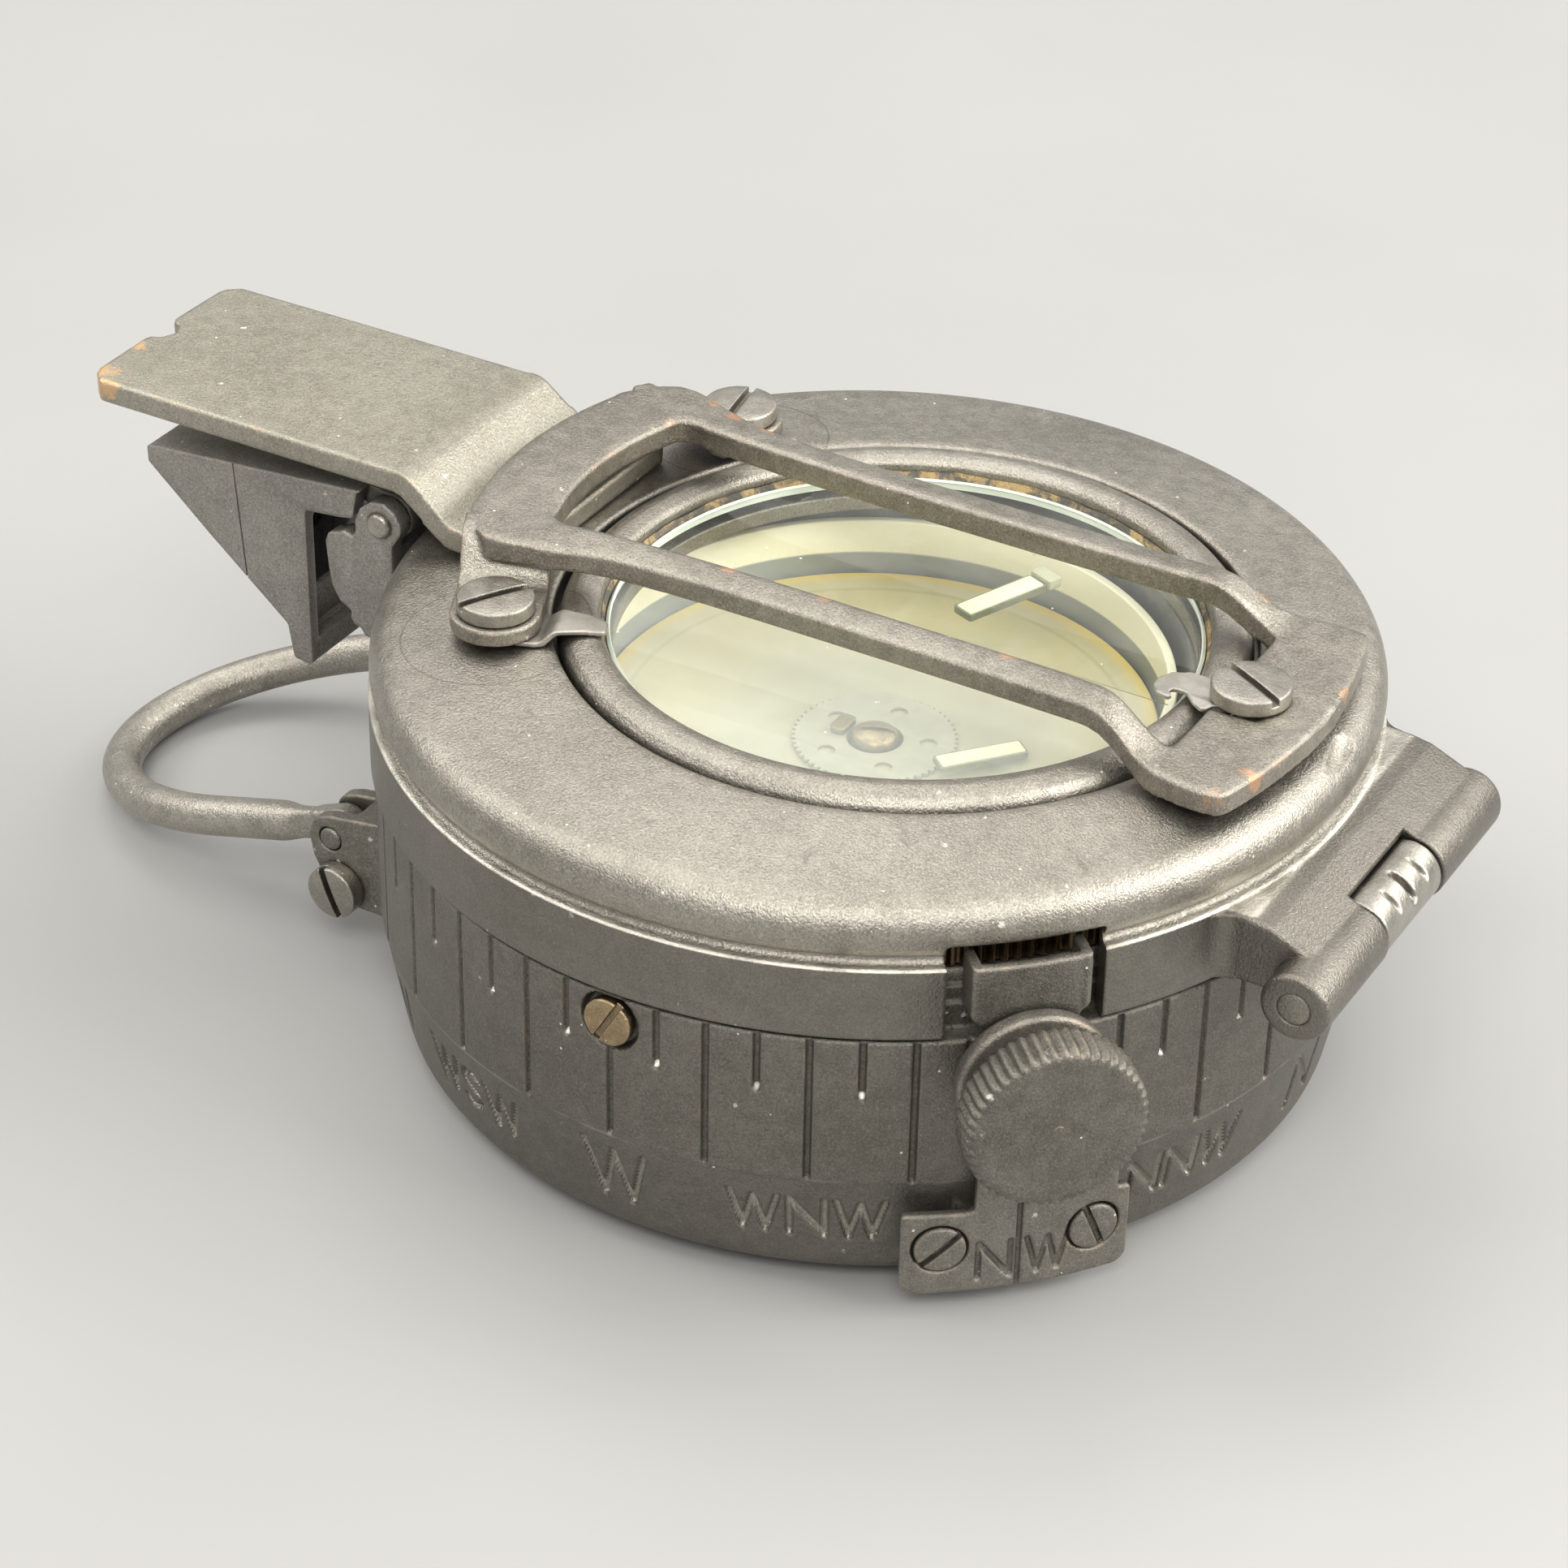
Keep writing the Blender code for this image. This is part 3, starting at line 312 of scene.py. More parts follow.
M_CLIP = metal("spring_steel", (0.46, 0.44, 0.395), (0.36, 0.344, 0.306), bare=(0.7, 0.69, 0.64), metallic=0.8,
               rough=0.42, edge_wear_and_sheen=0.5, grain=0.3, stain=0.3, specks=0.2, edge_r=0.12)
M_SLEEVE = metal("polished_steel", (0.43, 0.41, 0.365), (0.31, 0.295, 0.26), bare=(0.8, 0.78, 0.72), metallic=0.95,
                 rough=0.33, edge_wear_and_sheen=0.6, grain=0.5, stain=0.6, specks=0.6, edge_r=0.2, soft_edges=True)
M_BRASS = metal("aged_brass", (0.44, 0.335, 0.20), (0.25, 0.185, 0.115), bare=(0.80, 0.66, 0.40), metallic=1.0,
                rough=0.34, edge_wear_and_sheen=0.9, grain=0.6, stain=0.5, specks=0.3, edge_r=0.14)
M_TEETH = metal("dark_brass", (0.30, 0.21, 0.11), (0.10, 0.065, 0.035), bare=(0.55, 0.42, 0.22), metallic=1.0,
                rough=0.38, edge_wear_and_sheen=1.0, grain=0.5, stain=1.0, specks=0.0, edge_r=0.12)
M_INNER = metal("bowl_grey", (0.23, 0.235, 0.225), (0.15, 0.155, 0.15), metallic=0.4, rough=0.5, edge_wear_and_sheen=0.1,
                grain=0.6, stain=0.6, specks=0.2)
M_BLACK = metal("black_oxide", (0.030, 0.029, 0.028), (0.014, 0.013, 0.012), metallic=0.5, rough=0.45, edge_wear_and_sheen=0.1,
                grain=0.6, stain=0.2, specks=0.3)


def paint(name, base, second, rough=0.5, amount=0.5, scale=0.5, spots=0.0, spot_col=(0.35, 0.25, 0.1), bump=0.3,
          glow=None, lines=None):
    m, nt, p, _ = start(name)
    co = coords(nt)
    a = noise(nt, co, scale, 5, 0.6)
    b = noise(nt, co, 9.0, 3, 0.55)
    col = mix(nt, mth(nt, "MULTIPLY", rng(nt, a, 0.35, 0.68), amount), base, second)
    col = mix(nt, mth(nt, "MULTIPLY", rng(nt, b, 0.55, 0.75), 0.16), col, tuple(c * 0.72 for c in base))
    if spots:
        s = noise(nt, coords(nt, (4.0, 1.0, 2.0)), 0.85, 7, 0.66, 0.4)
        col = mix(nt, mth(nt, "MULTIPLY", rng(nt, s, 0.64, 0.74), spots), col, spot_col)
    if lines:
        col = lines(nt, col)
    bm = add(nt, "ShaderNodeBump", {"Strength": bump, "Distance": 0.00003,
                                    "Height": mth(nt, "ADD", a, mth(nt, "MULTIPLY", b, 0.5))})
    put(nt, p, base=col, rough=mth(nt, "ADD", rough, mth(nt, "MULTIPLY", mth(nt, "SUBTRACT", a, 0.5), 0.2)),
        metal=0.0, normal=bm.outputs[0])
    if glow:
        p.inputs["Emission Color"].default_value = (*glow, 1.0)
        p.inputs["Emission Strength"].default_value = 0.06
    return m


def band_paint(nt, col):
    """The upright scale: grey foot, cream band, faint hairline divisions."""
    tc = nt.nodes.new("ShaderNodeTexCoord")
    xyz = add(nt, "ShaderNodeSeparateXYZ", {0: tc.outputs["Object"]})
    z = mth(nt, "MULTIPLY", xyz.outputs[2], 1000.0)
    ang = mth(nt, "ARCTAN2", xyz.outputs[1], xyz.outputs[0])
    turn = mth(nt, "MULTIPLY", ang, 180.0 / math.pi)
    fine = mth(nt, "ABSOLUTE", mth(nt, "SUBTRACT", mth(nt, "FRACT", mth(nt, "DIVIDE", turn, 2.0)), 0.5))
    tick = mth(nt, "MULTIPLY", rng(nt, fine, 0.47, 0.492), rng(nt, z, 22.25, 22.15))
    col = mix(nt, mth(nt, "MULTIPLY", tick, 0.18), col, (0.20, 0.20, 0.16))
    return mix(nt, rng(nt, z, 21.85, 21.65), col, (0.27, 0.29, 0.28))


M_CREAM = paint("cream_band", (0.90, 0.87, 0.66), (0.92, 0.91, 0.76), rough=0.42, amount=0.6, scale=0.25, spots=0.5,
                spot_col=(0.45, 0.36, 0.20), lines=band_paint)


def card_paint(nt, col):
    """Golden rim line as painted highlight, greyer centre and the shaded ring round the hub."""
    tc = nt.nodes.new("ShaderNodeTexCoord")
    xyz = add(nt, "ShaderNodeSeparateXYZ", {0: tc.outputs["Object"]})
    x = mth(nt, "MULTIPLY", xyz.outputs[0], 1000.0)
    y = mth(nt, "MULTIPLY", xyz.outputs[1], 1000.0)
    r = mth(nt, "SQRT", mth(nt, "ADD", mth(nt, "MULTIPLY", x, x), mth(nt, "MULTIPLY", y, y)))
    col = mix(nt, rng(nt, r, 13.5, 6.5, 0.0, 0.62), col, (0.32, 0.318, 0.25))
    # painted highlight: a golden band along the card's rim
    col = mix(nt, rng(nt, r, 15.8, 16.7, 0.0, 0.85), col, (0.62, 0.47, 0.13))
    ring = mth(nt, "ABSOLUTE", mth(nt, "SUBTRACT", r, 15.2))
    col = mix(nt, rng(nt, ring, 0.20, 0.05, 0.0, 0.3), col, (0.25, 0.23, 0.13))
    return col


M_CARD = paint("card_varnish", (0.46, 0.415, 0.245), (0.39, 0.355, 0.21), rough=0.42, amount=0.7, scale=0.16,
               spots=0.25, spot_col=(0.30, 0.26, 0.14), lines=card_paint)
M_LUME = paint("luminous_paint", (0.72, 0.80, 0.52), (0.80, 0.86, 0.62), rough=0.6, amount=0.7, scale=1.2, bump=0.6,
               glow=(0.55, 0.75, 0.35))
M_LUME2 = paint("luminous_paint_north", (0.76, 0.80, 0.50), (0.84, 0.86, 0.62), rough=0.6, amount=0.7, scale=1.2,
                bump=0.6, glow=(0.6, 0.7, 0.35))
M_INK = paint("strip_outline", (0.16, 0.17, 0.11), (0.24, 0.25, 0.17), rough=0.55, amount=0.6, scale=1.5)
M_HUB = paint("hub_ring", (0.36, 0.35, 0.27), (0.30, 0.295, 0.225), rough=0.5, amount=0.6, scale=0.8, spots=0.3)
M_EDGE = paint("glass_edge", (0.74, 0.84, 0.76), (0.84, 0.90, 0.84), rough=0.25, amount=0.5, scale=0.6, bump=0.1)


def sealant():
    m, nt, p, _ = start("sealing_compound")
    co = coords(nt)
    a = noise(nt, co, 0.55, 7, 0.7, 0.8)
    b = noise(nt, co, 4.5, 5, 0.65)
    col = mix(nt, rng(nt, a, 0.44, 0.60), (0.10, 0.095, 0.085), (0.42, 0.30, 0.14))
    col = mix(nt, rng(nt, b, 0.52, 0.72, 0.0, 0.7), col, (0.13, 0.085, 0.04))
    bm = add(nt, "ShaderNodeBump", {"Strength": 0.9, "Distance": 0.00012, "Height": b})
    put(nt, p, base=col, rough=rng(nt, b, 0.3, 0.7, 0.45, 0.75), normal=bm.outputs[0])
    return m


M_SEAL = sealant()


def thin_glass(name, tint=(0.93, 0.97, 0.94), dirt=0.5, gloss_rough=0.03):
    """Flat glass: clear through, Fresnel gloss, a film of dust, a pale cast growing towards the near side that is
    partly dust and partly painted reflection, and hairline scratches.
    """
    m, nt, p, out = start(name)
    nt.nodes.remove(p)
    co = coords(nt)
    film = noise(nt, co, 0.16, 6, 0.65, 0.4)
    vor = add(nt, "ShaderNodeTexVoronoi", {"Vector": coords(nt, (2.0, 7.0, 0.0)), "Scale": 0.75, "Randomness": 1.0})
    sep = add(nt, "ShaderNodeSeparateColor", {0: vor.outputs["Color"]})
    dust = mth(nt, "MULTIPLY", rng(nt, vor.outputs["Distance"], 0.07, 0.04), rng(nt, sep.outputs[1], 0.55, 0.6))
    hair = noise(nt, coords(nt, (0, 0, 0), (0.06, 1.4, 1.0)), 1.0, 4, 0.75)
    at = add(nt, "ShaderNodeSeparateXYZ", {0: co})
    # a pale cast growing towards the near side: partly a dust film, partly a painted reflection
    lean = mth(nt, "ADD", mth(nt, "MULTIPLY", at.outputs[1], -1.0), mth(nt, "MULTIPLY", at.outputs[0], 0.15))
    dust_and_reflection_veil = rng(nt, mth(nt, "ADD", lean, mth(nt, "MULTIPLY", film, 5.0)), 2.0, 9.0, 0.03, 0.24)
    film_and_reflection = mth(nt, "ADD", dust_and_reflection_veil, mth(nt, "MULTIPLY", rng(nt, film, 0.35, 0.75), 0.06 * dirt))
    haze_and_reflection = mth(nt, "ADD", film_and_reflection,
               mth(nt, "MULTIPLY", rng(nt, hair, 0.60, 0.72), 0.02 * dirt))
    haze_and_reflection = mth(nt, "ADD", haze_and_reflection, mth(nt, "MULTIPLY", dust, 0.7 * dirt), clamp=True)
    face = nt.nodes.new("ShaderNodeNewGeometry").outputs["Backfacing"]
    haze_and_reflection = mth(nt, "MULTIPLY", haze_and_reflection, mth(nt, "SUBTRACT", 1.0, face))
    clear = add(nt, "ShaderNodeBsdfTransparent", {"Color": (*tint, 1.0)})
    grey = add(nt, "ShaderNodeBsdfDiffuse", {"Color": (0.72, 0.76, 0.70, 1.0), "Roughness": 0.5})
    body = add(nt, "ShaderNodeMixShader", {0: haze_and_reflection, 1: clear.outputs[0], 2: grey.outputs[0]})
    bm = add(nt, "ShaderNodeBump", {"Strength": 0.12, "Distance": 0.00002, "Height": film})
    gloss = add(nt, "ShaderNodeBsdfGlossy", {"Color": (1, 1, 1, 1),
                                             "Roughness": rng(nt, film, 0.3, 0.8, gloss_rough, gloss_rough + 0.06),
                                             "Normal": bm.outputs[0]})
    fr = add(nt, "ShaderNodeFresnel", {"IOR": 1.42, "Normal": bm.outputs[0]})
    back = nt.nodes.new("ShaderNodeNewGeometry").outputs["Backfacing"]
    gl = mth(nt, "MULTIPLY", fr.outputs[0], mth(nt, "SUBTRACT", 1.0, back))
    top = add(nt, "ShaderNodeMixShader", {0: gl, 1: body.outputs[0], 2: gloss.outputs[0]})
    nt.links.new(top.outputs[0], out.inputs[0])
    return m


M_GLASS = thin_glass("cover_glass", (0.985, 0.992, 0.975), dirt=1.3)


def prism_glass(name, base, rough, trans):
    m, nt, p, _ = start(name)
    co = coords(nt)
    a = noise(nt, co, 0.6, 4)
    b = noise(nt, co, 3.5, 4, 0.6)
    col = mix(nt, a, base, tuple(c * 1.5 for c in base))
    col = mix(nt, rng(nt, b, 0.62, 0.74, 0.0, 0.3), col, (0.4, 0.4, 0.37))
    put(nt, p, base=col, rough=rng(nt, b, 0.3, 0.7, rough, rough + 0.08), trans=trans, ior=1.52)
    return m


M_PGLASS = prism_glass("prism_glass", (0.012, 0.014, 0.014), 0.05, 0.0)
M_LENS = prism_glass("lens_glass", (0.75, 0.82, 0.78), 0.03, 0.85)


# ================================================================== mesh tools
def obj(bm, name="piece"):
    bmesh.ops.recalc_face_normals(bm, faces=bm.faces)
    me = bpy.data.meshes.new(name)
    bm.to_mesh(me)
    bm.free()
    ob = bpy.data.objects.new(name, me)
    SC.collection.objects.link(ob)
    return ob


def bake(ob):
    bpy.context.view_layer.update()
    dg = bpy.context.evaluated_depsgraph_get()
    me = bpy.data.meshes.new_from_object(ob.evaluated_get(dg))
    old = ob.data
    ob.modifiers.clear()
    ob.data = me
    bpy.data.meshes.remove(old)
    return ob


def booleans(ob, tools):
    """tools: list of ('DIFFERENCE' | 'UNION' | 'INTERSECT', bmesh)."""
    made = []
    for op, bm in tools:
        t = obj(bm, "tool")
        t.hide_render = True
        mod = ob.modifiers.new("b", "BOOLEAN")
        mod.operation, mod.solver, mod.object = op, "EXACT", t
        made.append(t)
    bake(ob)
    for t in made:
        me = t.data
        bpy.data.objects.remove(t)
        bpy.data.meshes.remove(me)
    return ob


def cut(*bms):
    return [("DIFFERENCE", b) for b in bms]


def remesh(ob, size, smooth=2, factor=0.5):
    mod = ob.modifiers.new("r", "REMESH")
    mod.mode, mod.voxel_size, mod.adaptivity = "VOXEL", size, 0.0
    if smooth:
        sm = ob.modifiers.new("s", "SMOOTH")
        sm.factor, sm.iterations = factor, smooth
    return bake(ob)


def rounded(ob, width, segments=3, angle=35.0):
    mod = ob.modifiers.new("v", "BEVEL")
    mod.width, mod.segments, mod.limit_method = width, segments, "ANGLE"
    mod.angle_limit, mod.harden_normals, mod.use_clamp_overlap = math.radians(angle), False, True
    return bake(ob)


def done(ob, name, mats, body, nodes=(), angle=38.0):
    me = ob.data
    co = np.zeros(len(me.vertices) * 3, np.float32)
    me.vertices.foreach_get("co", co)
    me.vertices.foreach_set("co", co * 0.001)
    me.update()
    me.materials.clear()
    for m in (mats if isinstance(mats, (list, tuple)) else [mats]):
        me.materials.append(m)
    me.shade_smooth()
    me.set_sharp_from_angle(angle=math.radians(angle))
    ob.name = name
    me.name = name
    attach(ob, body)
    if nodes:
        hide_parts(*nodes)
    return ob


def arrays(V, F, name="grid"):
    me = bpy.data.meshes.new(name)
    V = np.asarray(V, np.float32)
    F = np.asarray(F, np.int32)
    k = F.shape[1]
    me.vertices.add(len(V))
    me.vertices.foreach_set("co", V.ravel())
    me.loops.add(F.size)
    me.loops.foreach_set("vertex_index", F.ravel())
    me.polygons.add(len(F))
    me.polygons.foreach_set("loop_start", np.arange(0, F.size, k, dtype=np.int32))
    me.update(calc_edges=True)
    me.validate()
    bm = bmesh.new()
    bm.from_mesh(me)
    bmesh.ops.recalc_face_normals(bm, faces=bm.faces)
    bm.to_mesh(me)
    bm.free()
    ob = bpy.data.objects.new(name, me)
    SC.collection.objects.link(ob)
    return ob


def fillet(points, radius, n=4):
    """Rounds the corners of a closed outline. radius is one number or one per corner."""
    out = []
    m = len(points)
    for i in range(m):
        r = radius[i] if isinstance(radius, (list, tuple)) else radius
        p = Vector(points[i])
        a, b = Vector(points[i - 1]) - p, Vector(points[(i + 1) % m]) - p
        if r <= 0 or a.length < 1e-6 or b.length < 1e-6:
            out.append(tuple(p))
            continue
        ang = a.angle(b)
        if ang > math.radians(176) or ang < 0.02:
            out.append(tuple(p))
            continue
        t = min(r / math.tan(ang / 2), 0.45 * a.length, 0.45 * b.length)
        rr = t * math.tan(ang / 2)
        a.normalize()
        b.normalize()
        c = p + (a + b).normalized() * (rr / math.sin(ang / 2))
        s, e = p + a * t - c, p + b * t - c
        for k in range(n + 1):
            f = k / n
            v = s.lerp(e, f)
            out.append(tuple(c + v.normalized() * rr))
    return out


def turned(profile, seg=128, centre=(0, 0), twist=0.0):
    bm = bmesh.new()
    cx, cy = centre
    rings = []
    for r, z in profile:
        if r < 1e-6:
            rings.append([bm.verts.new((cx, cy, z))])
        else:
            rings.append([bm.verts.new((cx + r * math.cos(2 * math.pi * k / seg + twist),
                                        cy + r * math.sin(2 * math.pi * k / seg + twist), z)) for k in range(seg)])
    for i, p in enumerate(rings):
        q = rings[(i + 1) % len(rings)]
        if len(p) == 1 and len(q) == 1:
            continue
        if len(p) == 1 or len(q) == 1:
            a, ring = (p[0], q) if len(p) == 1 else (q[0], p)
            for k in range(seg):
                bm.faces.new((a, ring[k], ring[(k + 1) % seg]))
            continue
        for k in range(seg):
            bm.faces.new((p[k], q[k], q[(k + 1) % seg], p[(k + 1) % seg]))
    return bm


def move(bm, start_, direction, roll=0.0):
    rot = Vector((0, 0, 1)).rotation_difference(Vector(direction).normalized()).to_matrix().to_4x4()
    bmesh.ops.transform(bm, verts=bm.verts,
                        matrix=Matrix.Translation(Vector(start_)) @ rot @ Matrix.Rotation(roll, 4, "Z"))
    return bm


def turned_along(profile, start_, direction, seg=64):
    return move(turned(profile, seg), start_, direction)


def rod(start_, direction, radius, length, seg=48):
    bm = turned([(0, 0), (radius, 0), (radius, length), (0, length)], seg, twist=0.037)
    return move(bm, start_, direction)


def slab(points, lo, hi, axis="z"):
    bm = bmesh.new()

    def at(p, h):
        return {"z": (p[0], p[1], h), "y": (p[0], h, p[1]), "x": (h, p[0], p[1])}[axis]

    n = len(points)
    a = [bm.verts.new(at(p, lo)) for p in points]
    b = [bm.verts.new(at(p, hi)) for p in points]
    bm.faces.new(a)
    bm.faces.new(b[::-1])
    for i in range(n):
        bm.faces.new((a[i], b[i], b[(i + 1) % n], a[(i + 1) % n]))
    return bm


def inset(points, d):
    """Outline moved inwards by d, each corner along its mitre."""
    n = len(points)
    area2 = sum(points[i - 1][0] * points[i][1] - points[i][0] * points[i - 1][1] for i in range(n))
    s = 1.0 if area2 > 0 else -1.0
    out = []
    for i, p in enumerate(points):
        a, b = points[i - 1], points[(i + 1) % n]
        u, v = Vector((p[0] - a[0], p[1] - a[1])).normalized(), Vector((b[0] - p[0], b[1] - p[1])).normalized()
        na, nb = Vector((-u.y, u.x)) * s, Vector((-v.y, v.x)) * s
        m = na + nb
        m = m / max(0.35, m.length_squared / 2) if m.length > 1e-6 else na
        out.append((p[0] + m.x * d, p[1] + m.y * d))
    return out


def cushion(points, lo, hi, axis="z", r=0.3, n=3):
    """A slab whose two flat faces meet the sides in a round of radius r."""
    bm = bmesh.new()

    def at(p, h):
        return {"z": (p[0], p[1], h), "y": (p[0], h, p[1]), "x": (h, p[0], p[1])}[axis]

    steps = [(r * (1 - math.sin(math.pi / 2 * k / n)), r * (1 - math.cos(math.pi / 2 * k / n))) for k in range(n + 1)]
    rings = [(d, lo + h) for d, h in steps] + [(d, hi - h) for d, h in reversed(steps)]
    rows = [[bm.verts.new(at(p, h)) for p in inset(points, d)] for d, h in rings]
    bm.faces.new(rows[0])
    bm.faces.new(rows[-1][::-1])
    k = len(points)
    for a, b in zip(rows, rows[1:]):
        for i in range(k):
            bm.faces.new((a[i], b[i], b[(i + 1) % k], a[(i + 1) % k]))
    return bm


def spin_z(bm, deg):
    bmesh.ops.rotate(bm, cent=(0, 0, 0), verts=bm.verts, matrix=Matrix.Rotation(math.radians(deg), 3, "Z"))
    return bm


def xform(bm, m):
    bmesh.ops.transform(bm, matrix=m, verts=bm.verts)
    return bm


def polar(r, deg, z):
    a = math.radians(deg)
    return (r * math.cos(a), r * math.sin(a), z)


def arc(cx, cy, r, a0, a1, n):
    return [(cx + r * math.cos(math.radians(a0 + (a1 - a0) * i / n)),
             cy + r * math.sin(math.radians(a0 + (a1 - a0) * i / n))) for i in range(n + 1)]


def screw(name, node, seat, direction, head_r, head_t, shank_r, shank_l, mat, body="case", slot_deg=20.0,
          slot_w=0.62, slot_d=0.45, dome=0.0, seg=72):
    """A slotted cheese head with rounded rim, a slightly domed face and a plain cut slot."""
    d = Vector(direction).normalized()
    e = min(0.14, head_t * 0.3)
    prof = [(0, 0), (shank_r, 0), (shank_r, shank_l), (head_r - 0.05, shank_l), (head_r, shank_l + 0.06),
            (head_r, shank_l + head_t - e)]
    prof += [(head_r - e + e * math.cos(t), shank_l + head_t - e + e * math.sin(t))
             for t in (0.5, 1.0, math.pi / 2)]
    prof += [(head_r * f, shank_l + head_t + dome * (1 - f * f)) for f in (0.7, 0.45, 0.2)]
    prof += [(0, shank_l + head_t + dome)]
    ob = obj(move(turned(prof, seg), Vector(seat) - d * shank_l, d))
    w = slot_w / 2
    groove = slab([(-w, -head_r - 1), (w, -head_r - 1), (w, head_r + 1), (-w, head_r + 1)],
                  head_t - slot_d, head_t + 1.0)
    bmesh.ops.rotate(groove, cent=(0, 0, 0), verts=groove.verts,
                     matrix=Matrix.Rotation(math.radians(slot_deg), 3, "Z"))
    booleans(ob, cut(move(groove, seat, d)))
    return done(ob, name, mat, body, [node], 30)


# ================================================================== lettering strokes
STROKES = {
    "N": (0.74, [(0, 0, 0, 1), (0, 1, 0.74, 0), (0.74, 0, 0.74, 1)]),
    "W": (1.0, [(0, 1, 0.26, 0), (0.26, 0, 0.5, 0.94), (0.5, 0.94, 0.74, 0), (0.74, 0, 1.0, 1)]),
    "E": (0.58, [(0, 0, 0, 1), (0, 1, 0.58, 1), (0, 0.52, 0.48, 0.52), (0, 0, 0.58, 0)]),
    "S": (0.6, None),
}
_s = [(0.56, 0.84), (0.44, 0.97), (0.28, 1.0), (0.10, 0.92), (0.04, 0.76), (0.12, 0.60), (0.30, 0.52),
      (0.48, 0.42), (0.56, 0.25), (0.50, 0.08), (0.30, 0.0), (0.12, 0.04), (0.02, 0.17)]
STROKES["S"] = (0.6, [(*_s[i], *_s[i + 1]) for i in range(len(_s) - 1)])


def word(text, height, gap=0.26):
    """Stroke segments of a word, centred on x = 0, y from 0 to height."""
    segs, x = [], 0.0
    for ch in text:
        w, strokes = STROKES[ch]
        segs += [((x + a) * height, b * height, (x + c) * height, d * height) for a, b, c, d in strokes]
        x += w + gap
    half = (x - gap) * height / 2
    return [(a - half, b, c - half, d) for a, b, c, d in segs]


def stroke_depth(u, v, segs, w, d):
    """How deep a round-nosed cutter leaves the surface at (u, v)."""
    best = np.full(u.shape, 9.0)
    for x0, y0, x1, y1 in segs:
        dx, dy = x1 - x0, y1 - y0
        t = np.clip(((u - x0) * dx + (v - y0) * dy) / (dx * dx + dy * dy + 1e-9), 0, 1)
        best = np.minimum(best, np.hypot(u - x0 - t * dx, v - y0 - t * dy))
    k = np.clip((w - best) / (w * 0.75), 0, 1)
    return d * k * k * (3 - 2 * k)


# ================================================================== drum
POINTS = [(0, "N"), (-22.5, "NNW"), (-45, "NW"), (-67.5, "WNW"), (-90, "W"), (-112.5, "WSW"), (-135, "SW"),
          (-157.5, "SSW"), (180, "S"), (157.5, "SSE"), (135, "SE"), (112.5, "ESE"), (90, "E"), (67.5, "ENE"),
          (45, "NE"), (22.5, "NNE")]
CASE_SCREWS = (-90.0, 30.0, 150.0)


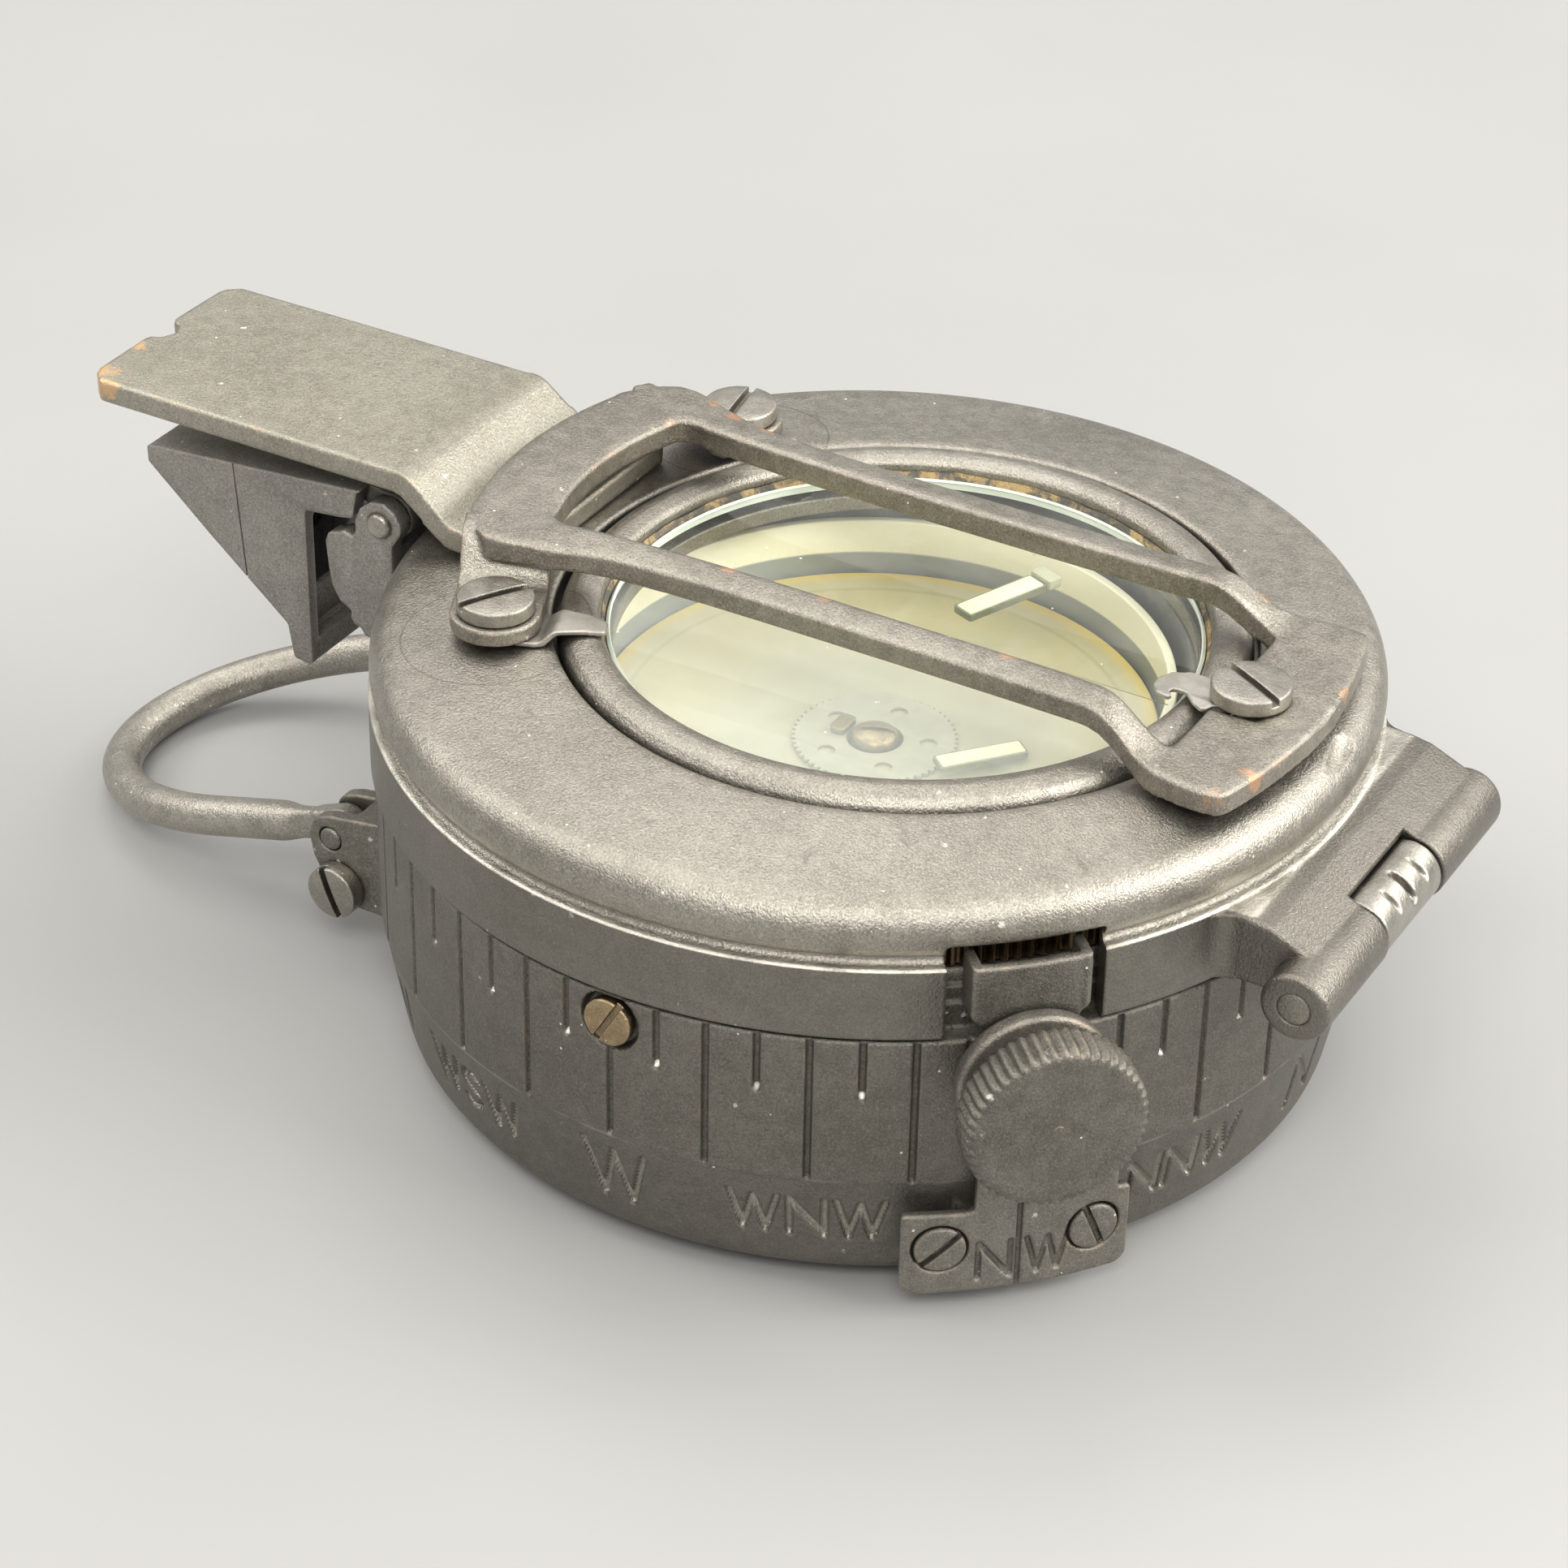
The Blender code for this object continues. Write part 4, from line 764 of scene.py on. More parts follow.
def build_drum():
    cols = 2304
    phi = np.arange(cols) * 2 * math.pi / cols
    rows = [(26.8, 4.4, 0), (26.8, 22.0, 0), (28.05, 22.0, 0), (28.15, 21.9, 0), (28.15, 21.05, 0), (28.4, 21.0, 0),
            (28.4, 20.1, 0), (28.62, 20.0, 0), (28.62, 18.5, 0), (28.75, 18.4, 0), (29.72, 18.4, 0), (29.86, 18.33, 0)]
    z = 18.22
    while z > 14.2:
        rows.append((DRUM_R, z, 1))
        z -= 0.13
    for z in (13.4, 12.4, 11.3, 10.3, 9.6):
        rows.append((DRUM_R, z, 1))
    for z in (9.3, 9.1, 8.98, 8.88, 8.8, 8.72, 8.66):
        rows.append((DRUM_R - 0.004, z, 1))
    z = Z_CREASE - 0.02
    while z > 2.25:
        f = (Z_CREASE - z) / (Z_CREASE - 2.1)
        rows.append((DRUM_R - 0.05 - (DRUM_R - 0.05 - DRUM_R_LOW) * f, z, 2))
        z -= 0.105
    for r, zz in ((28.68, 2.1), (28.6, 1.85), (28.42, 1.58), (28.12, 1.4), (27.8, 1.35), (26.1, 1.35), (25.9, 1.42),
                  (25.8, 1.6), (25.8, 2.9), (21.6, 2.9), (21.6, 4.4)):
        rows.append((r, zz, 0))
    R = np.array([r[0] for r in rows])[:, None] * np.ones(cols)[None, :]
    Z = np.array([r[1] for r in rows])[:, None] * np.ones(cols)[None, :]
    kind = np.array([r[2] for r in rows])
    D = np.zeros_like(R)
    # the divisions
    pitch = 2 * math.pi / 64
    off = (phi + pitch / 2) % pitch - pitch / 2
    index = np.round(phi / pitch).astype(int) % 64
    x = np.abs(off) * DRUM_R
    across = np.clip((0.235 - x) / 0.10, 0, 1)
    across = across * across * (3 - 2 * across)
    for i, (r, z, k) in enumerate(rows):
        if k != 1:
            continue
        long_end = Z_CREASE + 0.05
        short_end = 14.5
        end = np.where(index % 2 == 0, long_end, short_end)
        # round-nosed ends
        q = np.hypot(x, np.maximum(end + 0.2 - z, 0))
        k2 = np.clip((0.235 - q) / 0.10, 0, 1)
        k2 = k2 * k2 * (3 - 2 * k2)
        D[i] = np.where(z > end + 0.2, across, k2) * 0.34
        # deeper pip where the cutter stopped
        pip = np.clip((0.27 - np.hypot(x, z - (end + 0.16))) / 0.12, 0, 1)
        D[i] = np.maximum(D[i], np.where(index % 2 == 1, pip * 0.42, 0))
        for a in CASE_SCREWS:
            dphi = (phi - math.radians(a) + math.pi) % (2 * math.pi) - math.pi
            rr = np.hypot(dphi * DRUM_R, z - 16.65)
            c = np.clip((1.86 - rr) / 0.09, 0, 1)
            D[i] = np.maximum(D[i], c * 0.62)
            c = np.clip((1.0 - rr) / 0.09, 0, 1)
            D[i] = np.maximum(D[i], c * 2.2)
    # the letters
    low = np.where(kind == 2)[0]
    for deg, text in POINTS:
        h = 3.9 if len(text) == 1 else (3.3 if len(text) == 2 else 2.75)
        segs = word(text, h, 0.24 if len(text) > 1 else 0.3)
        dphi = (phi - math.radians(deg) + math.pi) % (2 * math.pi) - math.pi
        c = np.where(np.abs(dphi) * 29.4 < 7.0)[0]
        u = (dphi[c] * 29.3)[None, :]
        v = (Z[low][:, c] - (5.55 - h / 2))
        d = stroke_depth(u * np.ones_like(v), v, segs, 0.30, 0.36)
        pips = np.zeros_like(d)
        for x0, y0, x1, y1 in segs:
            for px, py in ((x0, y0), (x1, y1)):
                if py < 0.02 * h:
                    kk = np.clip((0.26 - np.hypot(u - px, v - py)) / 0.12, 0, 1)
                    pips = np.maximum(pips, kk * 0.34)
        D[np.ix_(low, c)] = np.maximum(D[np.ix_(low, c)], np.maximum(d, pips if text != "S" else d))
    R = R - D
    n = len(rows)
    V = np.stack([R * np.cos(phi), R * np.sin(phi), Z], -1).reshape(-1, 3)
    i = np.arange(n)[:, None]
    j = np.arange(cols)[None, :]
    i2, j2 = (i + 1) % n, (j + 1) % cols
    F = np.stack([i * cols + j, i2 * cols + j, i2 * cols + j2, i * cols + j2], -1).reshape(-1, 4)
    ob = done(arrays(V, F, "drum"), "drum_body_fine", [M_BODY, M_LETTER], "case", ["drum_body"], 46)
    # faces deep in the letters take the lighter grey, a painted highlight
    deep = (D[:, :] > 0.10) & (kind == 2)[:, None]
    face = deep & deep[(np.arange(n) + 1) % n][:, (np.arange(cols) + 1) % cols]
    ob.data.polygons.foreach_set("material_index", face.astype(np.int32).ravel())
    return ob


build_drum()

# base cover: turned rings, rounded rim, countersinks
base = obj(turned([(0, 0.12), (1.2, 0.12), (1.35, 0.0), (9.0, 0.0), (9.15, 0.14), (9.4, 0.14), (9.55, 0.0), (19.9, 0.0),
                   (20.05, 0.14), (20.3, 0.14), (20.45, 0.0), (24.55, 0.0), (24.95, 0.1), (25.25, 0.35), (25.4, 0.75),
                   (25.45, 1.1), (25.45, 2.6), (0, 2.6)], 256))
booleans(base, cut(*[rod(polar(23.3, a, -1.0), (0, 0, 1), 1.8, 2.35) for a in (90.0, 210.0, 330.0)]))
done(base, "base_cover_fine", M_BODY, "case", ["base_cover"])
for i, a in enumerate((90.0, 210.0, 330.0)):
    screw(f"base_screw_{i + 1}_fine", f"base_screw_{i + 1}", polar(23.3, a, 1.05), (0, 0, -1), 1.5, 0.85, 0.65, 2.4,
          M_SCREW, slot_deg=15 + 40 * i, slot_w=0.45, slot_d=0.35, dome=0.05)
for i, a in enumerate(CASE_SCREWS):
    screw(f"case_screw_{i + 1}_fine", f"case_screw_{i + 1}", polar(29.62, a, 16.65), polar(1, a, 0), 1.5, 0.6, 0.7, 2.4,
          M_BRASS, slot_deg=(-30, 20, 110)[i], slot_w=0.42, slot_d=0.34)


# ================================================================== head
def head_profile():
    p = [(HEAD_R - 0.12, Z_SKIRT), (HEAD_R, Z_SKIRT + 0.12), (HEAD_R, 21.0), (HEAD_R, 23.18)]
    p += [(30.02 + 0.13 * math.cos(t), 23.22 + 0.13 * math.sin(t)) for t in (0.4, 0.9, 1.4)]
    p += [(29.85, 23.36), (29.62, 23.40), (29.46, 23.52), (29.38, 23.75), (29.40, 24.0)]
    p += [(28.04 + 1.99 * math.cos(math.radians(t)), 25.2 + 1.99 * math.sin(math.radians(t)))
          for t in (-38, -30, -20, -10, 0, 10, 20, 30, 40, 50, 60, 68, 75, 81)]
    p += [(27.3, 27.27), (26.2, 27.42), (25.0, 27.57), (23.8, 27.70), (22.6, 27.83), (21.6, 27.93), (21.05, 27.96),
          (20.86, 27.92), (20.77, 27.80), (20.75, 27.55), (20.75, Z_SEAT), (17.2, Z_SEAT), (17.2, 25.4)]
    p += [(28.3, 25.4), (28.9, 24.9), (28.9, Z_SKIRT + 0.1), (29.0, Z_SKIRT)]
    return p


def build_head():
    seg = 384
    prof = head_profile()
    n = len(prof)
    phi = np.arange(seg) * 2 * math.pi / seg
    # the window is set forward: rows near it slide towards its centre
    R = np.array([p[0] for p in prof])
    Z = np.array([p[1] for p in prof])
    shift = np.clip((27.3 - R) / (27.3 - 21.1), 0, 1)
    inner = [i for i, p in enumerate(prof) if p[1] <= 25.45 and p[0] > 17.3]
    shift[[i for i in inner if i > 20]] = 0.0
    shift[:12] = 0.0
    V = np.stack([R[:, None] * np.cos(phi) + shift[:, None] * WIN_X, R[:, None] * np.sin(phi),
                  Z[:, None] * np.ones(seg)], -1).reshape(-1, 3)
    i = np.arange(n)[:, None]
    j = np.arange(seg)[None, :]
    i2, j2 = (i + 1) % n, (j + 1) % seg
    F = np.stack([i * seg + j, i2 * seg + j, i2 * seg + j2, i * seg + j2], -1).reshape(-1, 4)
    ob = arrays(V, F, "head")
    tools = []
    # hinge flange: rounded sides, sloping top, rolled into the knuckles
    side = [(24.5, Z_SKIRT + 0.15), (24.5, 23.28), (29.6, 23.28), (31.0, 23.05), (32.3, 22.5), (33.5, 21.99),
            (34.4, 21.5), (34.6, 20.0), (32.6, 18.7), (31.2, Z_SKIRT + 0.15)]
    tools.append(("UNION", cushion(fillet(side, [0, 0, 1.2, 1.0, 1.0, 1.0, 0.5, 0.5, 0.6, 0.5]), -11.15, 11.15, "y",
                                   0.4)))
    for s in (-1, 1):
        r = 1.5
        cx = math.sqrt((HEAD_R + r) ** 2 - (11.15 + r) ** 2)
        cy = 11.15 + r
        tx, ty = cx * HEAD_R / (HEAD_R + r), cy * HEAD_R / (HEAD_R + r)
        a0 = math.degrees(math.atan2(ty - cy, tx - cx))
        pts = [(26.6, 10.4)] + [(tx - 0.9, ty - 0.2)] + arc(cx, cy, r, a0, -90.0, 8) + [(cx + 0.5, 10.4)]
        pts = [(x, s * y) for x, y in pts]
        tools.append(("UNION", slab(pts, Z_SKIRT + 0.22, 23.12)))
    knuckle = fillet([(0, 0), (HINGE_R, 0), (HINGE_R, 8.2), (0, 8.2)], [0, 0.35, 0.12, 0], 5)
    tools.append(("UNION", turned_along(knuckle, (HX, -13.3, HZ), (0, 1, 0), 72)))
    far_l = 11.7 - (SLEEVE_HI + 0.18)
    knuckle = fillet([(0, 0), (HINGE_R, 0), (HINGE_R, far_l), (0, far_l)], [0, 0.12, 0.7, 0], 5)
    tools.append(("UNION", turned_along(knuckle, (HX, SLEEVE_HI + 0.18, HZ), (0, 1, 0), 72)))
    booleans(ob, tools)
    lo, hi = SLEEVE_LO - 0.18, SLEEVE_HI + 0.18
    tools = cut(
        rod((HX, lo, HZ), (0, 1, 0), 2.16, hi - lo, 72),
        slab([(HX - 0.75, lo), (38, lo), (38, hi), (HX - 0.75, hi)], HZ, 30),
        slab([(HX - 2.16, lo), (38, lo), (38, hi), (HX - 2.16, hi)], 10, HZ),
        rod((HX, -20, HZ), (0, 1, 0), 1.0, 40),
        turned([(0, 10), (28.9, 10), (28.9, 24.9), (28.3, 25.4), (0, 25.4)], 384),
        spin_z(slab(fillet([(-4.5, 14.0), (4.5, 14.0), (4.5, 24.75), (-4.5, 24.75)], [0, 0, 0.25, 0.25]), 26, 34, "x"),
               CLAMP_DEG),
        rod((-36, 0, 22.4), (1, 0, 0), 2.7, 12),
        rod((FRONT_SCREW_X, 0, 20), (0, 0, 1), 1.15, 12),
        rod((BACK_SCREW[0], BACK_SCREW[1], 20), (0, 0, 1), 1.15, 12),
        rod((BACK_SCREW[0], -BACK_SCREW[1], 20), (0, 0, 1), 1.15, 12),
        xform(turned([(0, -3.2), (0.9, -3.0), (1.25, -2.4), (1.35, 0), (1.25, 2.4), (0.9, 3.0), (0, 3.2)], 32),
              Matrix.Translation((29.85, 0.4, 27.75)) @ Matrix.Rotation(math.radians(14), 4, "Z")
              @ Matrix.Rotation(math.radians(90), 4, "X")))
    booleans(ob, tools)
    return done(ob, "head_case_fine", M_HEAD, "case", ["head_case"], 42)


build_head()
pin = obj(turned_along(fillet([(0, 0), (0.985, 0), (0.985, 24.7), (0, 24.7)], [0, 0.05, 0.05, 0], 2),
                       (HX, -13.28, HZ), (0, 1, 0), 48))
done(pin, "hinge_pin_fine", M_CLAMP, "case", ["hinge_pin"])


def build_sleeve():
    """Centre knuckle with three slots milled across its upper, outer side."""
    length = SLEEVE_HI - SLEEVE_LO
    ob = obj(turned_along(fillet([(0.99, 0), (1.95, 0), (1.95, length), (0.99, length)], [0, 0.12, 0.12, 0], 3),
                          (HX, SLEEVE_LO, HZ), (0, 1, 0), 96))
    tools = []
    for y, w, deep in ((-2.9, 0.42, 0.42), (-1.05, 0.62, 0.8), (0.85, 0.42, 0.42)):
        d = Vector((0.62, 0, 0.78)).normalized()
        cutter = turned([(0, -w / 2), (1.75, -w / 2), (1.95, -w / 4), (1.95, w / 4), (1.75, w / 2), (0, w / 2)], 48)
        m = Matrix.Translation(Vector((HX, y, HZ)) + d * (1.95 + 1.95 - deep)) @ Matrix.Rotation(math.radians(90), 4, "X")
        tools.append(("DIFFERENCE", xform(cutter, m)))
    booleans(ob, tools)
    remesh(ob, 0.075, 3)
    return done(ob, "hinge_sleeve_fine", M_SLEEVE, "sleeve", ["hinge_sleeve"], 60)


build_sleeve()

# bezel bead, sealing compound, glass with its ground edge
bez = fillet([(18.35, 26.7), (18.35, 27.6), (17.9, 27.62), (17.92, 28.15), (18.15, 28.42), (18.55, 28.56),
              (19.0, 28.6), (19.5, 28.52), (19.95, 28.28), (20.25, 27.9), (20.4, 27.5), (20.45, 27.1), (20.45, 26.7)],
             0.12, 3)
done(obj(turned(bez, 320, (WIN_X, 0))), "bezel_ring_fine", M_HEAD, "case", ["bezel_ring"], 50)
glass = obj(turned([(0, 26.7), (17.42, 26.7), (17.62, 26.85), (17.62, 27.32), (17.45, 27.5), (0, 27.5)], 192,
                   (WIN_X, 0)))
done(glass, "cover_glass_fine", M_GLASS, "case", ["cover_glass"])
done(obj(turned([(17.36, 27.36), (17.44, 27.505), (17.60, 27.33), (17.61, 26.9), (17.50, 26.86), (17.48, 27.25)], 256,
                (WIN_X, 0))), "glass_edge", M_EDGE, "case")


def build_seal():
    seg = 720
    phi = np.arange(seg) * 2 * math.pi / seg
    rs = np.random.RandomState(5)
    wob = sum(np.sin(phi * k + rs.rand() * 6.28) * rs.rand() / k ** 0.6 for k in range(3, 60)) * 0.06
    prof = [(17.66, 26.75), (18.3, 26.75), (18.3, 27.5), (17.88, 27.75), (17.80, 27.55), (17.70, 27.42)]
    n = len(prof)
    V = []
    for k, (r, z) in enumerate(prof):
        w = wob * (0 if k < 3 else 1)
        rr = r + 0.25 * w * (k in (4, 5))
        zz = z + w * (1.6 if k == 3 else 0.7)
        V.append(np.stack([WIN_X + rr * np.cos(phi), rr * np.sin(phi), zz * np.ones(seg)], -1))
    V = np.concatenate(V)
    i = np.arange(n)[:, None]
    j = np.arange(seg)[None, :]
    F = np.stack([i * seg + j, ((i + 1) % n) * seg + j, ((i + 1) % n) * seg + (j + 1) % seg, i * seg + (j + 1) % seg],
                 -1).reshape(-1, 4)
    return done(arrays(V, F, "seal"), "sealing_bead", M_SEAL, "case")


build_seal()
# lubber line cut in the glass
done(obj(slab([(3.6, -0.035), (18.9, -0.035), (18.9, 0.035), (3.6, 0.035)], 27.50, 27.515)), "lubber_line", M_INK,
     "case")


# ================================================================== inside the bowl
bowl = obj(turned(fillet([(4.2, 6.05), (19.2, 6.05), (19.2, 25.1), (18.5, 25.1), (18.5, 6.9), (4.2, 6.9)], 0.15, 2), 256))
booleans(bowl, cut(slab([(-24, -3.4), (-10, -3.4), (-10, 3.4), (-24, 3.4)], 19.0, 30)))
done(bowl, "inner_bowl_fine", M_INNER, "case", ["inner_bowl"])
done(obj(turned([(1.75, 18.2), (5.0, 18.2), (16.9, 19.9), (16.95, 20.3), (16.85, 20.42), (16.4, 20.40), (5.0, 18.74),
                 (4.6, 18.70), (1.75, 18.70)], 256)), "compass_card_fine", M_CARD, "card", ["compass_card"])
done(obj(turned(fillet([(17.2, 19.9), (17.8, 19.9), (17.8, 24.0), (17.2, 24.0)], 0.12, 3), 256)), "scale_ring_fine",
     M_CREAM, "card", ["scale_ring"])


def build_hub():
    """Toothed hub plate under the jewel cap."""
    seg = 720
    phi = np.arange(seg) * 2 * math.pi / seg
    tooth = np.clip(np.sin(phi * 60) * 2.2, -1, 1) * 0.11
    prof = [(1.72, 18.72), (4.75, 18.80), (4.9, 18.80), (4.9, 18.98), (4.6, 19.0), (4.2, 18.9), (1.72, 18.88)]
    V = []
    for k, (r, z) in enumerate(prof):
        rr = r + (tooth if k in (2, 3) else 0)
        V.append(np.stack([rr * np.cos(phi), rr * np.sin(phi), z * np.ones(seg)], -1))
    V = np.concatenate(V)
    n = len(prof)
    i = np.arange(n)[:, None]
    j = np.arange(seg)[None, :]
    F = np.stack([i * seg + j, ((i + 1) % n) * seg + j, ((i + 1) % n) * seg + (j + 1) % seg, i * seg + (j + 1) % seg],
                 -1).reshape(-1, 4)
    ob = arrays(V, F, "hub")
    booleans(ob, cut(*[rod(polar(3.25, a, 18), (0, 0, 1), 0.55, 3, 24) for a in (20, 92, 164, 236, 308)]))
    return done(ob, "card_hub", M_HUB, "card")


build_hub()
cap = obj(turned([(0.7, 17.5), (1.4, 17.5), (1.42, 19.0), (1.36, 19.18), (1.2, 19.36), (0.9, 19.48), (0.5, 19.55),
                  (0, 19.57), (0, 18.95), (0.7, 18.4)], 64))
booleans(cap, cut(spin_z(slab([(-2, -0.19), (2, -0.19), (2, 0.19), (-2, 0.19)], 19.25, 20.5), 25)))
done(cap, "jewel_cap_fine", M_BRASS, "card", ["jewel_cap"])
# small clip beside the cap
done(obj(slab(fillet([(-2.7, -0.9), (-1.7, -0.9), (-1.7, 0.9), (-2.7, 0.9)], 0.3), 18.95, 19.3)), "hub_clip", M_BRASS,
     "card")


def strip(name, p, q, w, z0, z1, mat, body, node, holder=False):
    d = Vector((q[0] - p[0], q[1] - p[1]))
    n = d.length
    d.normalize()
    m = Matrix(((d.x, -d.y, 0, p[0]), (d.y, d.x, 0, p[1]), (0, 0, 1, 0), (0, 0, 0, 1)))
    core = slab(fillet([(0.14, -w / 2 + 0.14), (n - 0.14, -w / 2 + 0.14), (n - 0.14, w / 2 - 0.14),
                        (0.14, w / 2 - 0.14)], 0.12), z0 + 0.05, z1)
    core = obj(xform(core, m))
    rounded(core, 0.07, 2)
    done(core, name, mat, body, [node])
    rim = fillet([(0, -w / 2), (n, -w / 2), (n, w / 2), (0, w / 2)], 0.16)
    ob = obj(xform(slab(rim, z0, z1 - 0.08), m))
    hole = fillet([(0.13, -w / 2 + 0.13), (n - 0.13, -w / 2 + 0.13), (n - 0.13, w / 2 - 0.13), (0.13, w / 2 - 0.13)],
                  0.1)
    booleans(ob, cut(xform(slab(hole, z0 - 1, z1 + 1), m)))
    done(ob, name + "_outline", M_INK, body)
    if holder:
        h = fillet([(n + 0.1, -w / 2 - 0.1), (n + 1.1, -w / 2 - 0.1), (n + 1.1, w / 2 + 0.1), (n + 0.1, w / 2 + 0.1)], 0.15)
        ob = obj(xform(slab(h, z0, z1 + 0.15), m))
        rounded(ob, 0.1, 2)
        done(ob, name + "_holder", M_CREAM2, body)


M_CREAM2 = paint("holder_paint", (0.50, 0.50, 0.36), (0.42, 0.42, 0.30), rough=0.5, amount=0.6, scale=0.9, spots=0.4)
strip("index_strip_fine", (3.04, 4.74), (5.27, 10.35), 1.6, 25.9, 26.4, M_LUME, "case", "index_strip", True)
strip("north_strip_fine", (5.24, -1.92), (8.81, 2.40), 1.5, 19.65, 20.05, M_LUME2, "card", "north_strip")


def build_teeth():
    teeth = 240
    seg = teeth * 8
    phi = np.arange(seg) * 2 * math.pi / seg
    wave = np.clip(np.cos(phi * teeth) * 1.8, -1, 1) * 0.22
    prof = [(26.2, 22.35), (28.2, 22.35), (28.25, 22.5), (28.25, 24.5), (28.1, 24.8), (26.2, 24.8)]
    V = []
    for k, (r, z) in enumerate(prof):
        rr = r + (wave if k in (2, 3) else (wave * 0.5 if k in (1, 4) else 0))
        V.append(np.stack([rr * np.cos(phi), rr * np.sin(phi), z * np.ones(seg)], -1))
    V = np.concatenate(V)
    n = len(prof)
    i = np.arange(n)[:, None]
    j = np.arange(seg)[None, :]
    F = np.stack([i * seg + j, ((i + 1) % n) * seg + j, ((i + 1) % n) * seg + (j + 1) % seg, i * seg + (j + 1) % seg],
                 -1).reshape(-1, 4)
    ob = arrays(V, F, "ring")
    booleans(ob, cut(slab([(-2, 0), (-40, 22), (-40, -22)], 20, 27)))
    return done(ob, "toothed_ring_fine", M_TEETH, "setting_ring", ["toothed_ring"])


build_teeth()


# ================================================================== guard over the window
def lerp_rows(rows, steps):
    """Catmull-Rom through pairs of points, to smooth the guard's bends."""
    out = []
    P = [np.array([*a, *b], float) for a, b in rows]
    for i in range(len(P) - 1):
        p0, p1, p2, p3 = P[max(i - 1, 0)], P[i], P[i + 1], P[min(i + 2, len(P) - 1)]
        for k in range(steps):
            t = k / steps
            out.append(0.5 * (2 * p1 + (p2 - p0) * t + (2 * p0 - 5 * p1 + 4 * p2 - p3) * t * t
                              + (3 * p1 - p0 - 3 * p2 + p3) * t ** 3))
    out.append(P[-1])
    return out


def build_guard():
    rear = [(polar(19.4, a, 0)[:2], polar(24.5, a, 0)[:2]) for a in np.linspace(180.0, 156.0, 9)]
    bar = [((-16.95, 7.25), (-20.4, 11.0)), ((-16.1, 7.05), (-16.6, 10.2)), ((-13.6, 6.85), (-13.6, 9.3)),
           ((-10, 6.65), (-10, 8.95)), ((-4, 6.5), (-4, 8.75)), ((4, 6.5), (4, 8.72)), ((10, 6.5), (10, 8.72)),
           ((14.5, 6.55), (15.0, 8.75)), ((17.2, 6.65), (18.0, 8.85)), ((18.8, 6.8), (20.2, 9.15)),
           ((20.2, 6.95), (22.0, 9.65)), ((21.4, 7.05), (24.2, 10.1)), ((22.1, 7.0), (25.6, 10.15))]
    end = [((22.35, 6.7), (26.6, 9.98)), ((22.4, 5.6), (27.05, 9.3)), ((22.4, 4.2), (27.7, 6.6)),
           ((22.4, 3.2), (28.1, 4.2))]
    notch = [((22.4, 2.25), (28.3, 2.4)), ((25.2, 2.15), (28.4, 1.7)), ((25.3, 0.0), (28.45, 0.0))]
    half = lerp_rows(rear[:-1] + bar, 3) + lerp_rows(end, 2) + [np.array([*a, *b], float) for a, b in notch]
    rows = half + [np.array([r[0], -r[1], r[2], -r[3]]) for r in half[-2::-1]][:-1]

    def z_at(x):
        t = min(max((x - 17.9) / 4.9, 0.0), 1.0)
        t = t * t * (3 - 2 * t)
        return BAR_TOP + (END_TOP - BAR_TOP) * t

    us = (0.0, 0.12, 0.3, 0.5, 0.7, 0.88, 1.0)
    bm = bmesh.new()
    ring = []
    for r in rows:
        a, b = np.array(r[:2]), np.array(r[2:])
        bar_w = np.linalg.norm(b - a)
        slope = 0.34 if bar_w < 3.2 else 0.06
        line = []
        for u in us:
            p = a + (b - a) * u
            crown = -slope * max(0.0, u - 0.35) ** 1.2 - (0.12 if u in (0.0, 1.0) else 0.0)
            line.append((p[0], p[1], z_at(p[0]) + crown))
        top = [bm.verts.new(c) for c in line]
        t = 1.5 if r[0] > 21 else 1.62
        bot = [bm.verts.new((p[0], p[1], z_at(p[0]) - t)) for p in (b, a)]
        ring.append(top + bot)
    n, m = len(ring), len(ring[0])
    for i in range(n):
        p, q = ring[i], ring[(i + 1) % n]
        for k in range(m):
            bm.faces.new((p[k], p[(k + 1) % m], q[(k + 1) % m], q[k]))
    ob = obj(bm, "guard")
    tools = []
    for s in (-1, 1):
        u = Vector((0.42, 0.907 * s, 0)).normalized()
        path = [(-6.4, BAR_TOP - 0.05), (-5.1, 32.0), (-4.3, 31.4), (-3.25, 29.75), (-2.6, PAD_TOP), (2.75, PAD_TOP)]
        low = [(2.75, 28.3), (-3.0, 28.3), (-3.9, 28.9), (-4.9, 30.3), (-5.4, 30.55), (-6.4, 30.55)]
        prof = fillet(path + low, [0.2, 0.9, 0.9, 0.7, 0.7, 0.2, 0.2, 0.8, 0.8, 0.8, 0.5, 0.2], 4)
        m = Matrix(((u.x, -u.y, 0, BACK_SCREW[0]), (u.y, u.x, 0, s * BACK_SCREW[1]), (0, 0, 1, 0), (0, 0, 0, 1)))
        tools.append(("UNION", xform(slab(prof, -2.66, 2.66, "y"), m)))
    booleans(ob, tools)
    tools = []
    for s in (-1, 1):
        u = Vector((0.42, 0.907 * s, 0)).normalized()
        m = Matrix(((u.x, -u.y, 0, BACK_SCREW[0]), (u.y, u.x, 0, s * BACK_SCREW[1]), (0, 0, 1, 0), (0, 0, 0, 1)))
        sector = arc(0, 0, 2.7, -88, 88, 28) + arc(0, 0, 6.5, 88, -88, 8)
        tools += cut(xform(slab(sector, 26, 31), m), rod((BACK_SCREW[0], s * BACK_SCREW[1], 26), (0, 0, 1), 1.15, 6))
    booleans(ob, tools)
    remesh(ob, 0.105, 3)
    return done(ob, "sight_guard_fine", M_GUARD, "case", ["sight_guard"], 70)


